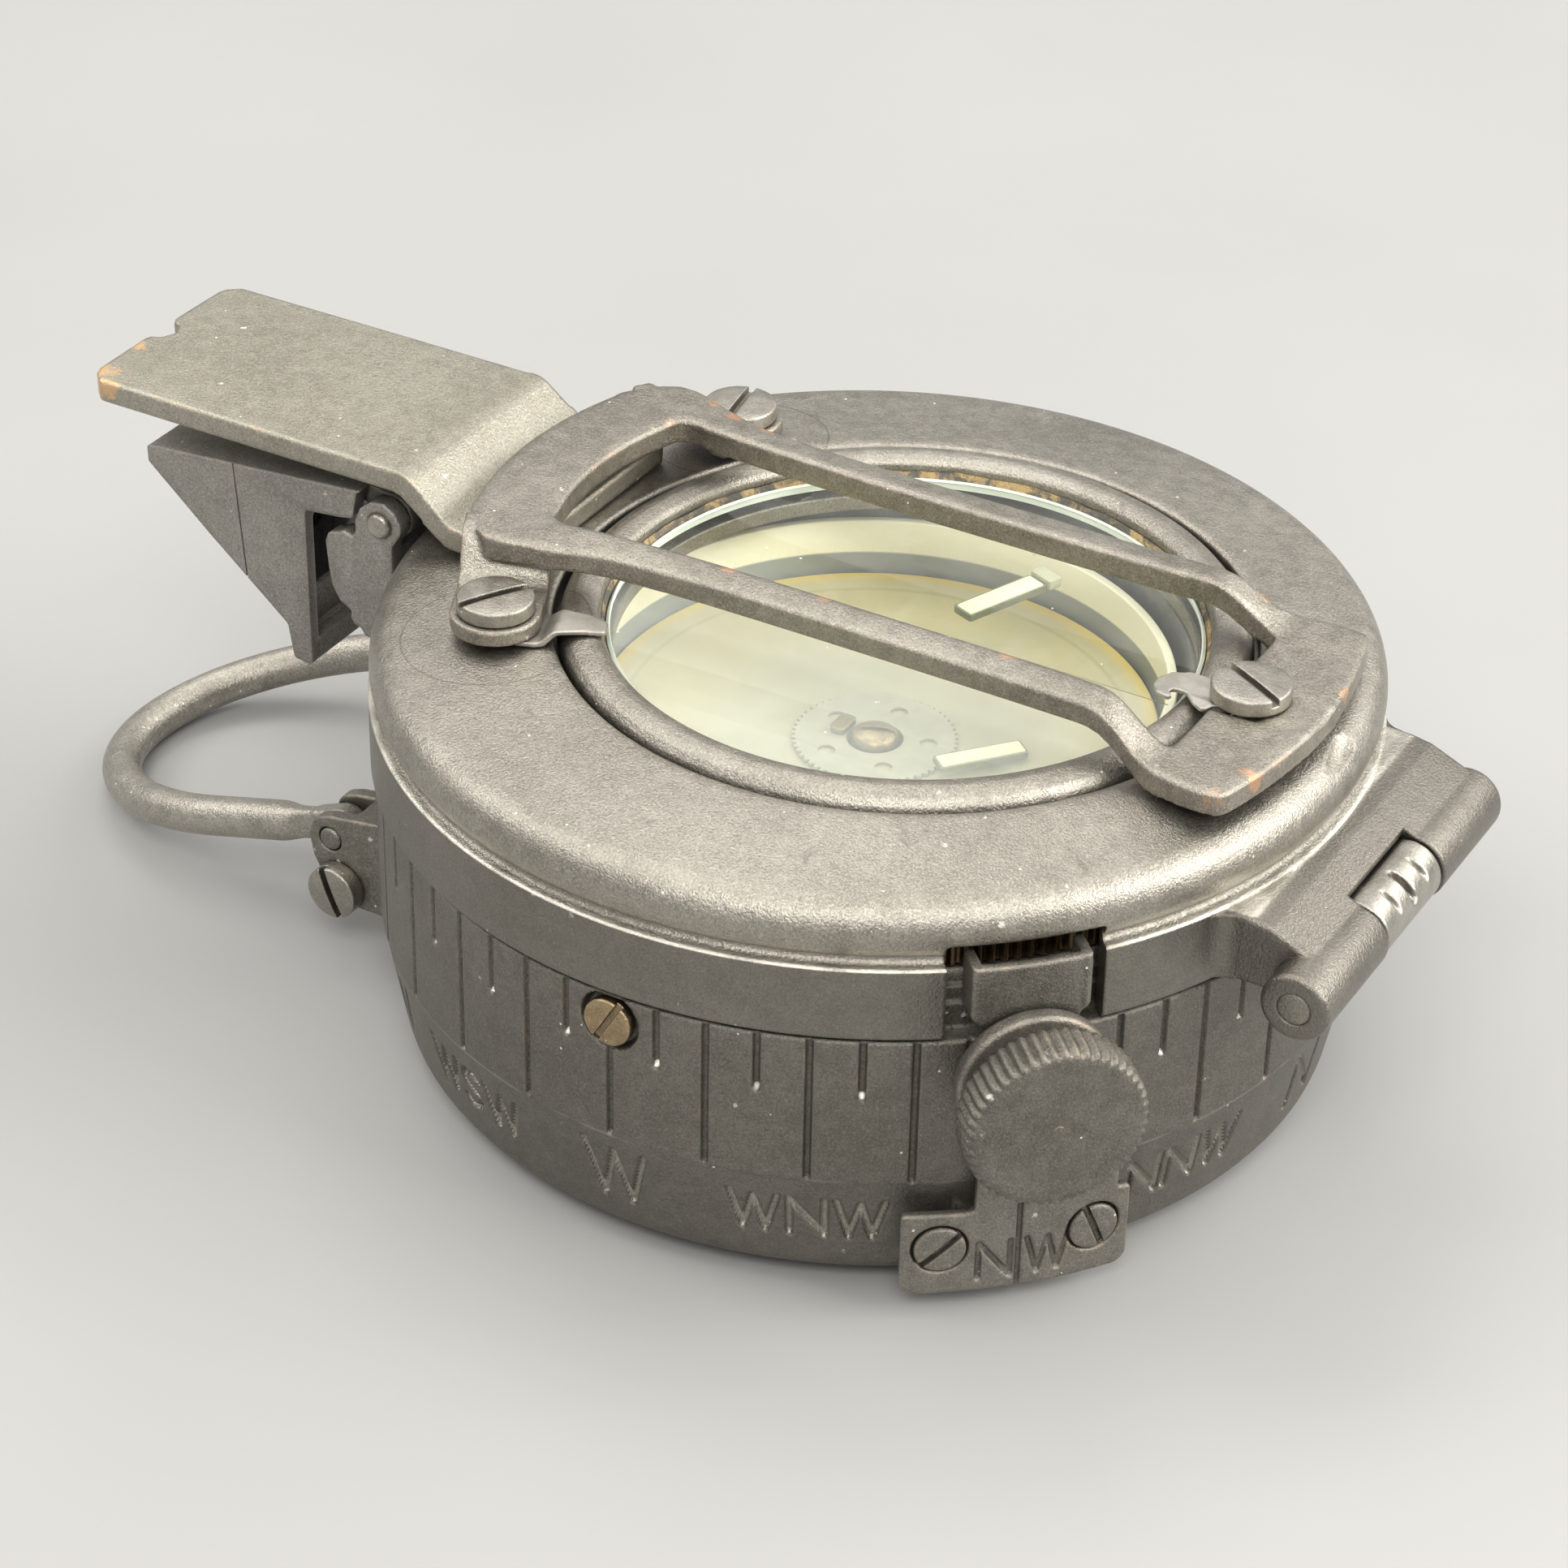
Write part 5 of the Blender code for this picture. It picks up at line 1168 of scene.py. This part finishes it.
build_guard()
screw("guard_screw_near_fine", "guard_screw_near", (BACK_SCREW[0], -BACK_SCREW[1], PAD_TOP + 0.02), (0, 0, 1), 2.3, 0.92,
      0.85, 4.2, M_SCREW, slot_deg=-30, dome=0.08, slot_w=0.55)
screw("guard_screw_far_fine", "guard_screw_far", (BACK_SCREW[0], BACK_SCREW[1], PAD_TOP + 0.02), (0, 0, 1), 2.3, 0.92,
      0.85, 4.2, M_SCREW, slot_deg=10, dome=0.08, slot_w=0.55)
screw("guard_screw_front_fine", "guard_screw_front", (FRONT_SCREW_X, 0, END_TOP + 0.05), (0, 0, 1), 2.32, 0.98, 0.85, 4.2,
      M_SCREW, slot_deg=61, dome=0.05, slot_w=0.5)


def build_clips():
    for s, label in ((-1, "near"), (1, "far")):
        d = Vector((0.938, -0.347 * s, 0)).normalized()
        m = Matrix(((d.x, -d.y, 0, BACK_SCREW[0]), (d.y, d.x, 0, s * BACK_SCREW[1]), (0, 0, 1, 0), (0, 0, 0, 1)))
        prof = fillet([(1.45, 28.26), (2.9, 28.3), (3.7, 28.98), (5.4, 29.02), (6.7, 28.82), (6.7, 28.52), (5.4, 28.72),
                       (3.85, 28.68), (3.1, 27.98), (1.45, 27.96)], [0, 0.5, 0.5, 0.8, 0.12, 0.12, 0.8, 0.3, 0.3, 0], 3)
        ob = obj(slab(prof, -2.2, 2.2, "y"))
        # taper to a rounded beak
        leaf = [(1.2, -1.7), (2.6, -1.7), (4.2, -1.2), (5.8, -0.85), (6.62, -0.55), (6.62, 0.55), (5.8, 0.85), (4.2, 1.2),
                (2.6, 1.7), (1.2, 1.7)]
        booleans(ob, [("INTERSECT", slab(fillet(leaf, [0, 0.8, 0.8, 0.5, 0.4, 0.4, 0.5, 0.8, 0.8, 0], 4), 26, 31))])
        xb = bmesh.new()
        xb.from_mesh(ob.data)
        xform(xb, m)
        xb.to_mesh(ob.data)
        xb.free()
        remesh(ob, 0.06, 2)
        done(ob, f"glass_clip_{label}_fine", M_CLIP, "case", [f"glass_clip_{label}"], 60)
    # front clip: a hooked crescent with a side prong
    hook = [(25.9, 1.0), (24.0, 1.6), (22.2, 1.05), (21.0, 1.3), (19.6, 1.35), (18.6, 0.9), (18.15, 0.1), (18.2, -0.75),
            (18.75, -1.45), (19.55, -1.75), (19.75, -1.45), (19.35, -1.1), (19.5, -0.7), (20.3, -0.75), (21.0, -1.5),
            (21.9, -2.1), (22.4, -1.6), (23.4, -1.55), (25.9, -1.0)]
    ob = obj(slab(fillet(hook, 0.35, 3), 28.98, 29.24))
    co = ob.data.vertices
    for v in co:
        t = max(0.0, min(1.0, (v.co.x - 21.4) / 1.6))
        v.co.z += 0.42 * t * t * (3 - 2 * t) - 0.35 * max(0.0, (19.2 - v.co.x)) * 0.35
    booleans(ob, cut(rod((FRONT_SCREW_X, 0, 26), (0, 0, 1), 1.0, 6)))
    remesh(ob, 0.06, 2)
    done(ob, "glass_clip_front_fine", M_CLIP, "case", ["glass_clip_front"], 60)


build_clips()


# ================================================================== rear leaf
def along(path, s):
    """Point and upward normal at distance s along an XZ polyline."""
    left = s
    for (x0, z0), (x1, z1) in zip(path, path[1:]):
        d = math.hypot(x1 - x0, z1 - z0)
        if left <= d or (x1, z1) == path[-1]:
            f = left / d
            tx, tz = (x1 - x0) / d, (z1 - z0) / d
            return (x0 + tx * left, z0 + tz * left), (-tz, tx)
        left -= d


def build_leaf():
    knots = [(-52.3, 32.02), (-40.0, 32.08), (-28.4, 32.1), (-25.2, 29.62), (-20.0, 29.45)]
    path = []
    raw = fillet(knots + [(-20.0, 10), (-52.3, 10)], [0, 6, 1.9, 1.6, 0, 0, 0], 8)
    path = raw[:-2]
    length = sum(math.dist(a, b) for a, b in zip(path, path[1:]))
    # plan outline in (s, y)
    w, root = 7.5, 8.4
    pts = [(0.9, -w), (23.0, -w), (26.5, -w - 0.15), (length, -root), (length, root), (26.5, w + 0.15), (23.0, w),
           (0.9, w), (0.0, w - 0.9), (0.0, 1.25), (0.75, 0.85), (1.15, 0.0), (0.75, -0.85), (0.0, -1.25), (0.0, -w + 0.9)]
    rad = [0.4, 0, 0, 0, 0, 0, 0, 0.4, 0.4, 0.3, 0.3, 0.15, 0.3, 0.3, 0.4]
    ob = obj(slab(fillet(pts, rad, 3), -1.5, 0.0))
    remesh(ob, 0.15, 3)
    me = ob.data
    for v in me.vertices:
        s, y, h = v.co
        s = min(max(s, 0.0), length - 1e-4)
        (px, pz), (nx, nz) = along(path, s)
        crown = -0.10 * (abs(y) / w) ** 2.5
        v.co = (px + nx * h, y, pz + nz * h + crown)
    booleans(ob, cut(turned([(0, 27), (20.9, 27), (20.9, 29.9), (0, 29.9)], 128, (WIN_X, 0))))
    return done(ob, "rear_leaf_fine", M_LEAF, "case", ["rear_leaf"], 60)


build_leaf()


# ================================================================== prism and bracket
PX, PZ = PRISM_PIN


def build_prism():
    outline = [(-48.8, 27.7), (-48.75, 26.55), (-44.5, 22.85), (-38.55, 17.9), (-38.15, 15.55), (-36.8, 15.4),
               (-36.8, 26.6), (-34.2, 26.9), (-33.2, 27.1), (-32.85, 29.0), (-32.4, 29.15)]
    ob = obj(slab(fillet(outline, [0.25, 0.25, 0.5, 0.5, 0.3, 0.2, 0.3, 0.3, 0.3, 0.3, 0.2], 3), -6.5, 6.5, "y"))
    tools = cut(
        slab([(-47.3, 26.7), (-38.4, 19.2), (-37.8, 16.6), (-37.8, 27.6)], -5.75, 5.75, "y"),
        slab([(-36.9, 14.0), (-36.9, 28.0), (-30.5, 28.3), (-30.5, 14.0)], -5.4, 5.4, "y"))
    booleans(ob, tools)
    tools = [("UNION", slab(fillet([(-33.6, 27.8), (-33.4, 29.1), (-31.0, 28.5), (-32.0, 27.4)], 0.2), -5.1, 5.1, "y")),
             ("UNION", rod((PX, -5.1, PZ), (0, 1, 0), 1.45, 10.2, 64))]
    tools += cut(rod((PX, -9, PZ), (0, 1, 0), 0.85, 18, 40),
                 slab(fillet([(-5.7, 16.9), (5.7, 16.9), (5.7, 26.0), (-5.7, 26.0)], 0.3), -38.2, -35.5, "x"),
                 slab(fillet([(-44.0, -2.6), (-40.0, -2.6), (-40.0, 2.6), (-44.0, 2.6)], 1.2, 6), 26, 30),
                 # seam between the wedge and its frame, on both cheeks
                 slab([(-42.35, 30.0), (-42.25, 30.0), (-40.95, 14.0), (-41.05, 14.0)], -7.0, -6.36, "y"),
                 slab([(-42.35, 30.0), (-42.25, 30.0), (-40.95, 14.0), (-41.05, 14.0)], 6.36, 7.0, "y"))
    booleans(ob, tools)
    rounded(ob, 0.10, 2, 40)
    done(ob, "prism_housing_fine", M_PRISM, "prism", ["prism_housing"], 40)
    g = obj(slab([(-46.0, 26.4), (-38.1, 19.8), (-38.1, 27.1)], -5.1, 5.1, "y"))
    rounded(g, 0.18, 2)
    done(g, "prism_glass_fine", M_PGLASS, "prism", ["prism_glass"])
    cheek = [(-35.3, 24.9), (-35.05, 25.6), (-34.4, 25.75), (-33.9, 26.05), (-33.3, 25.75), (-33.0, 26.2), (-33.0, 27.0),
             (-32.6, 28.0), (-31.8, 28.65), (-30.9, 28.75), (-30.1, 28.3), (-29.65, 27.5), (-29.72, 26.9),
             (-30.35, 25.9), (-30.45, 18.9), (-32.6, 18.9), (-32.9, 19.4), (-33.4, 19.5), (-33.65, 19.95),
             (-33.5, 20.4), (-34.4, 20.9), (-34.95, 21.9), (-35.15, 23.2)]
    flat = fillet(cheek, 0.35, 3)
    ob = obj(slab(flat, -6.5, -5.4, "y"))
    booleans(ob, [("UNION", slab(flat, 5.4, 6.5, "y")),
                  ("UNION", slab([(-31.3, 18.9), (-31.3, 25.3), (-30.46, 25.3), (-30.46, 18.9)], -6.0, 6.0, "y"))])
    booleans(ob, cut(rod((PX, -9, PZ), (0, 1, 0), 0.85, 18, 40), rod((-36, 0, 22.4), (1, 0, 0), 2.7, 12, 48),
                     rod((-36, 4.1, 20.4), (1, 0, 0), 0.75, 12, 32), rod((-36, -4.1, 20.4), (1, 0, 0), 0.75, 12, 32)))
    rounded(ob, 0.10, 2, 40)
    done(ob, "prism_bracket_fine", M_PRISM, "case", ["prism_bracket"], 40)
    pin_ = obj(turned_along(fillet([(0, 0), (0.84, 0), (0.84, 13.7), (0, 13.7)], [0, 0.3, 0.3, 0], 4),
                            (PX, -6.85, PZ), (0, 1, 0), 40))
    done(pin_, "prism_pin_fine", M_SCREW, "case", ["prism_pin"])
    for s, label in ((-1, "near"), (1, "far")):
        screw(f"bracket_screw_{label}_fine", f"bracket_screw_{label}", (-31.42, s * 4.1, 20.4), (-1, 0, 0), 1.0, 0.7,
              0.45, 2.4, M_SCREW, slot_w=0.28, slot_d=0.3)
    ln = obj(xform(turned([(0, 0), (2.6, 0), (2.6, 1.1), (2.3, 1.35), (1.5, 1.65), (0.7, 1.8), (0, 1.84)], 64),
                   Matrix.Translation((-29.5, 0, 22.4)) @ Matrix.Rotation(math.radians(-90), 4, "Y")))
    done(ln, "scale_lens_fine", M_LENS, "case", ["scale_lens"])


build_prism()


# ================================================================== thumb loop
def loop_point(u, y, h=0.0):
    return Vector((LX - u * math.cos(DROOP) - h * math.sin(DROOP), y, LZ - u * math.sin(DROOP) + h * math.cos(DROOP)))


def build_loop():
    side = []
    for u in np.linspace(1.6, LOOP_L, 26)[:-1]:
        side.append((u, LOOP_A))
    bow = [(LOOP_L + LOOP_K * math.sin(math.radians(t)), LOOP_A * math.cos(math.radians(t)))
           for t in np.linspace(0, 180, 73)]
    line = side + bow + [(u, -y) for u, y in side[::-1]]
    nrm = (loop_point(0, 0, 1) - loop_point(0, 0, 0)).normalized()
    pts = [loop_point(u, y) for u, y in line]
    sides = 28
    bm = bmesh.new()
    rings = []
    for i, p in enumerate(pts):
        a, b = pts[max(i - 1, 0)], pts[min(i + 1, len(pts) - 1)]
        t = (b - a).normalized()
        across = t.cross(nrm).normalized()
        u = line[i][0]
        f = min(max((u - 3.3) / 2.0, 0.0), 1.0)
        f = f * f * (3 - 2 * f)
        ra, rn = 0.62 + (1.3 - 0.62) * f, 1.02 + (1.3 - 1.02) * f
        pw = 0.55 + 0.45 * f
        ring = []
        for k in range(sides):
            c, s = math.cos(2 * math.pi * k / sides), math.sin(2 * math.pi * k / sides)
            ring.append(bm.verts.new(p + across * ra * math.copysign(abs(c) ** pw, c)
                                     + nrm * rn * math.copysign(abs(s) ** pw, s)))
        rings.append(ring)
    for r0, r1 in zip(rings, rings[1:]):
        for k in range(sides):
            bm.faces.new((r0[k], r0[(k + 1) % sides], r1[(k + 1) % sides], r1[k]))
    bm.faces.new(rings[0][::-1])
    bm.faces.new(rings[-1])
    ob = obj(bm, "loop")
    tools = []
    for s in (-1, 1):
        eye = [(1.28 * math.cos(math.radians(a)), 1.28 * math.sin(math.radians(a))) for a in range(90, 271, 12)]
        eye += [(2.2, -1.02), (2.2, 1.02)]
        pts2 = [tuple(loop_point(u, 0, h).xz) for u, h in eye]
        tools.append(("UNION", slab(pts2, s * LOOP_A - 0.62, s * LOOP_A + 0.62, "y")))
    booleans(ob, tools)
    booleans(ob, cut(rod((LX, -20, LZ), (0, 1, 0), 0.8, 40, 40)))
    remesh(ob, 0.11, 3)
    return done(ob, "thumb_loop_fine", M_LOOP, "loop", ["thumb_loop"], 70)


build_loop()
for s, label in ((-1, "near"), (1, "far")):
    body_ = [(LX - 1.3, LZ - 1.6), (LX - 1.6, LZ), (LX - 1.15, LZ + 1.2), (LX, LZ + 1.65), (-26.0, LZ + 2.4),
             (-26.0, 4.0), (-29.6, 4.0), (-31.0, 5.0)]
    lug = obj(slab(fillet(body_, [0.6, 1.4, 0.9, 1.4, 0, 0, 0.8, 0.8], 5), s * LOOP_A - 1.9, s * LOOP_A + 1.9, "y"))
    booleans(lug, cut(turned([(0, 0), (DRUM_R + 0.12, 0), (DRUM_R + 0.12, 20), (0, 20)], 256),
                      slab([(-40, 3), (-30.85, 3), (-30.85, 5.9), (-29.2, 5.9), (-29.0, 8.5), (-29.2, 14), (-40, 14)],
                           s * LOOP_A - 0.98, s * LOOP_A + 0.98, "y"),
                      rod((LX, -20, LZ), (0, 1, 0), 0.85, 40, 40)))
    remesh(lug, 0.08, 3)
    done(lug, f"loop_lug_{label}_fine", M_CLAMP, "case", [f"loop_lug_{label}"], 60)
    lp = obj(turned_along(fillet([(0, 0), (0.78, 0), (0.78, 3.96), (0, 3.96)], [0, 0.25, 0.25, 0], 4),
                          (LX, s * LOOP_A - 1.98, LZ), (0, 1, 0), 32))
    done(lp, f"loop_pin_{label}_fine", M_CLAMP, "case", [f"loop_pin_{label}"])
    screw(f"loop_screw_{label}_fine", f"loop_screw_{label}", (-30.0, s * (LOOP_A + 1.92), 5.3), (0, s, 0), 1.75, 1.15,
          0.42, 3.4, M_SCREW, slot_deg=(22 if s < 0 else 40), slot_w=0.5, slot_d=0.5, dome=0.1)


# ================================================================== clamp
N = Vector(polar(1, CLAMP_DEG, 0))


def build_spring():
    """Flat blank in (t, z) with engraving, then rolled to the case and given its channel."""
    blank = [(-6.7, 1.7), (6.7, 1.7), (6.7, 7.2), (5.9, 7.2), (5.9, 9.3), (2.7, 9.8), (2.7, 20.2), (3.36, 20.6),
             (3.36, 23.95), (-3.36, 23.95), (-3.36, 20.6), (-1.9, 19.6), (-2.5, 9.8), (-2.6, 7.3), (-6.7, 7.3)]
    rad = [0.9, 0.9, 0.25, 0.2, 0.5, 0.8, 0.6, 0.5, 0.35, 0.35, 0.7, 0.8, 0.8, 0.2, 0.25]
    R0 = 30.55
    ob = obj(slab(fillet(blank, rad, 4), 0.0, 0.6))
    tools = []
    for x0, y0, x1, y1 in [(0.02, 1.3, 0.02, 9.0)]:
        tools.append(slab([(x0 - 0.16, y0), (x0 + 0.16, y0), (x1 + 0.16, y1), (x1 - 0.16, y1)], 0.3, 1.0))
    for text, cx in (("N", -1.35), ("W", 1.75)):
        segs = word(text, 2.5)
        for a, b, c, d in segs:
            p, q = Vector((a + cx, b + 2.55)), Vector((c + cx, d + 2.55))
            v = (q - p).normalized()
            n_ = Vector((-v.y, v.x)) * 0.17
            v = v * 0.12
            tools.append(slab([tuple(p - v - n_), tuple(q + v - n_), tuple(q + v + n_), tuple(p - v + n_)], 0.3, 1.0))
    for s in (-1, 1):
        t = math.radians(8.3) * 30.9 * s
        tools.append(rod((t, 4.9, -1), (0, 0, 1), 0.95, 4, 32))
        tools.append(turned([(0, 0.16), (1.56, 0.16), (1.68, 0.75), (0, 0.75)], 48, (t, 4.9)))
    tools.append(rod((0.2, KNOB_Z, -1), (0, 0, 1), 1.4, 4, 32))
    booleans(ob, cut(*tools))
    remesh(ob, 0.065, 1)
    a0 = math.radians(CLAMP_DEG)
    for v in ob.data.vertices:
        t, z, h = v.co
        if z > 20.0 and abs(t) > 2.75:
            pass
        r = R0 + h
        a = a0 + t / 30.85
        v.co = (r * math.cos(a), r * math.sin(a), z)
    tools = []
    for s in (-1, 1):
        fl = fillet([(28.95, s * 2.78), (30.9, s * 2.78), (31.1, s * 3.0), (30.95, s * 3.38), (28.95, s * 3.38)],
                    [0.15, 0, 0.2, 0.35, 0.15], 4)
        tools.append(("UNION", spin_z(slab(fl, 20.7, 23.98), CLAMP_DEG)))
    booleans(ob, tools)
    remesh(ob, 0.085, 2)
    return done(ob, "clamp_spring_fine", M_CLAMP, "case", ["clamp_spring"], 60)


build_spring()
for s in (-1, 1):
    a = CLAMP_DEG + 8.3 * s
    screw(f"foot_screw_{1 if s < 0 else 2}_fine", f"foot_screw_{1 if s < 0 else 2}", polar(30.85, a, 4.9),
          polar(1, a, 0), 1.48, 0.40, 0.6, 3.8, M_CLAMP, slot_deg=(-10 if s < 0 else 75), slot_w=0.42, slot_d=0.34,
          dome=0.05)
washer = obj(turned_along(fillet([(1.5, 0), (4.45, 0), (4.45, 1.15), (1.5, 1.15)], [0, 0.3, 0.3, 0], 4),
                          polar(31.3, CLAMP_DEG, KNOB_Z), N, 96))
done(washer, "clamp_washer_fine", M_CLAMP, "case", ["clamp_washer"])


def build_knob():
    ridges = 50
    per = 12
    seg = ridges * per
    phi = np.arange(seg) * 2 * math.pi / seg
    saw = (phi * ridges / (2 * math.pi)) % 1.0
    tri = np.abs(saw - 0.5) * 2
    prof = [(1.5, 0.0, 0), (3.1, 0.0, 0), (3.2, 0.08, 0), (3.2, 1.02, 0), (3.3, 1.1, 0), (4.8, 1.1, 0.4), (5.02, 1.18, 0.8),
            (5.14, 1.34, 1), (5.2, 1.6, 1), (5.2, 2.2, 1), (5.2, 3.0, 1), (5.17, 3.3, 1), (5.08, 3.5, 0.9), (4.93, 3.64, 0.6),
            (4.72, 3.71, 0.2), (4.4, 3.73, 0), (3.4, 3.71, 0), (2.0, 3.69, 0), (0.9, 3.68, 0), (0.12, 3.68, 0), (0.12, 2.9, 0),
            (1.5, 2.9, 0)]
    V = []
    for r, z, k in prof:
        rr = r - 0.26 * k * (tri ** 1.3)
        V.append(np.stack([rr * np.cos(phi), rr * np.sin(phi), z * np.ones(seg)], -1))
    V = np.concatenate(V)
    n = len(prof)
    i = np.arange(n)[:, None]
    j = np.arange(seg)[None, :]
    F = np.stack([i * seg + j, ((i + 1) % n) * seg + j, ((i + 1) % n) * seg + (j + 1) % seg, i * seg + (j + 1) % seg],
                 -1).reshape(-1, 4)
    ob = arrays(V, F, "knob")
    bm = bmesh.new()
    bm.from_mesh(ob.data)
    move(bm, polar(32.9, CLAMP_DEG, KNOB_Z), N)
    # a small plug closes the centre of the face
    bm.to_mesh(ob.data)
    bm.free()
    done(ob, "clamp_knob_fine", M_KNOB, "knob", ["clamp_knob"], 50)
    plug = obj(turned_along([(0, 3.0), (0.35, 3.0), (0.35, 3.675), (0.2, 3.695), (0, 3.70)],
                            polar(32.9, CLAMP_DEG, KNOB_Z), N, 32))
    done(plug, "clamp_knob_centre", M_KNOB, "knob")


build_knob()

# what keeps its CAD shape gets its own finish
for name, mat in {"pivot_bridge": M_BRASS, "pivot_post": M_SCREW, "card_magnet_1": M_SCREW, "card_magnet_2": M_SCREW,
                  "clamp_stud": M_SCREW}.items():
    ob = frame["nodes"][name]
    ob.data.materials.clear()
    ob.data.materials.append(mat)

# ================================================================== stage, light, camera
floor = obj(slab([(-3000, -3000), (3000, -3000), (3000, 3000), (-3000, 3000)], -6.0, 0.0))
for v in floor.data.vertices:
    v.co *= 0.001
floor.name = "floor"


def floor_mat():
    m, nt, p, _ = start("pale_floor")
    co = coords(nt)
    a = noise(nt, co, 0.02, 4, 0.5)
    b = noise(nt, co, 2.5, 4, 0.6)
    bm = add(nt, "ShaderNodeBump", {"Strength": 0.12, "Distance": 0.00005, "Height": b})
    put(nt, p, base=mix(nt, a, (0.30, 0.30, 0.295), (0.345, 0.345, 0.34)), rough=0.62, normal=bm.outputs[0])
    return m


floor.data.materials.append(floor_mat())

world = bpy.data.worlds.new("soft_room")
SC.world = world
world.use_nodes = True
wn = world.node_tree
wn.nodes.clear()
tc = wn.nodes.new("ShaderNodeTexCoord")
sx = add(wn, "ShaderNodeSeparateXYZ", {0: tc.outputs["Generated"]})
up = rng(wn, sx.outputs[2], 0.0, 0.42)
colour = mix(wn, up, (0.20, 0.205, 0.215), (0.97, 0.955, 0.93))
bg = add(wn, "ShaderNodeBackground", {0: colour, 1: 0.95})
wo = wn.nodes.new("ShaderNodeOutputWorld")
wn.links.new(bg.outputs[0], wo.inputs[0])


def area(name, loc, target, size, power, colour=(1, 1, 1)):
    d = bpy.data.lights.new(name, "AREA")
    d.shape, d.size, d.size_y, d.energy, d.color = "RECTANGLE", size[0], size[1], power, colour
    o = bpy.data.objects.new(name, d)
    SC.collection.objects.link(o)
    o.location = loc
    o.rotation_euler = (Vector(target) - Vector(loc)).to_track_quat("-Z", "Y").to_euler()
    return o


area("key_back_left", (-0.24, 0.24, 0.66), (0, 0, 0.02), (0.40, 0.24), 1.3, (1.0, 0.975, 0.93))
area("top_soft", (0.05, -0.06, 0.70), (0, 0, 0.02), (0.60, 0.60), 0.7, (1.0, 0.985, 0.95))
area("front_top", (0.20, -0.46, 0.56), (0, 0, 0.02), (0.34, 0.20), 2.8, (1.0, 0.975, 0.93))
area("right_side", (0.62, 0.16, 0.40), (0, 0, 0.02), (0.50, 0.34), 5.4, (1.0, 0.975, 0.93))
area("back_right", (0.34, 0.52, 0.44), (0, 0, 0.02), (0.60, 0.34), 2.2, (1.0, 0.98, 0.94))
area("left_top", (-0.50, -0.16, 0.50), (0, 0, 0.02), (0.34, 0.24), 1.6, (1.0, 0.975, 0.93))
area("front_fill", (0.10, -0.60, 0.26), (0, 0, 0.015), (0.40, 0.25), 0.2, (0.97, 0.985, 1.0))

cam = bpy.data.cameras.new("camera")
cam.lens, cam.sensor_width, cam.sensor_fit = 98.24, 36.0, "HORIZONTAL"
cam.clip_start, cam.clip_end = 0.01, 20.0
co_ = bpy.data.objects.new("camera", cam)
SC.collection.objects.link(co_)
right = Vector((0.86338911, 0.50425026, 0.01705641))
down = Vector((0.28943026, -0.46731252, -0.83537365))
fwd = Vector((-0.41326671, 0.72618915, -0.54941783))
co_.matrix_world = Matrix(((right.x, -down.x, -fwd.x, 0.10220), (right.y, -down.y, -fwd.y, -0.19049),
                           (right.z, -down.z, -fwd.z, 0.15753), (0, 0, 0, 1)))
SC.camera = co_
SC.view_settings.view_transform = "Standard"
SC.view_settings.look = "None"
SC.view_settings.exposure = 0.0
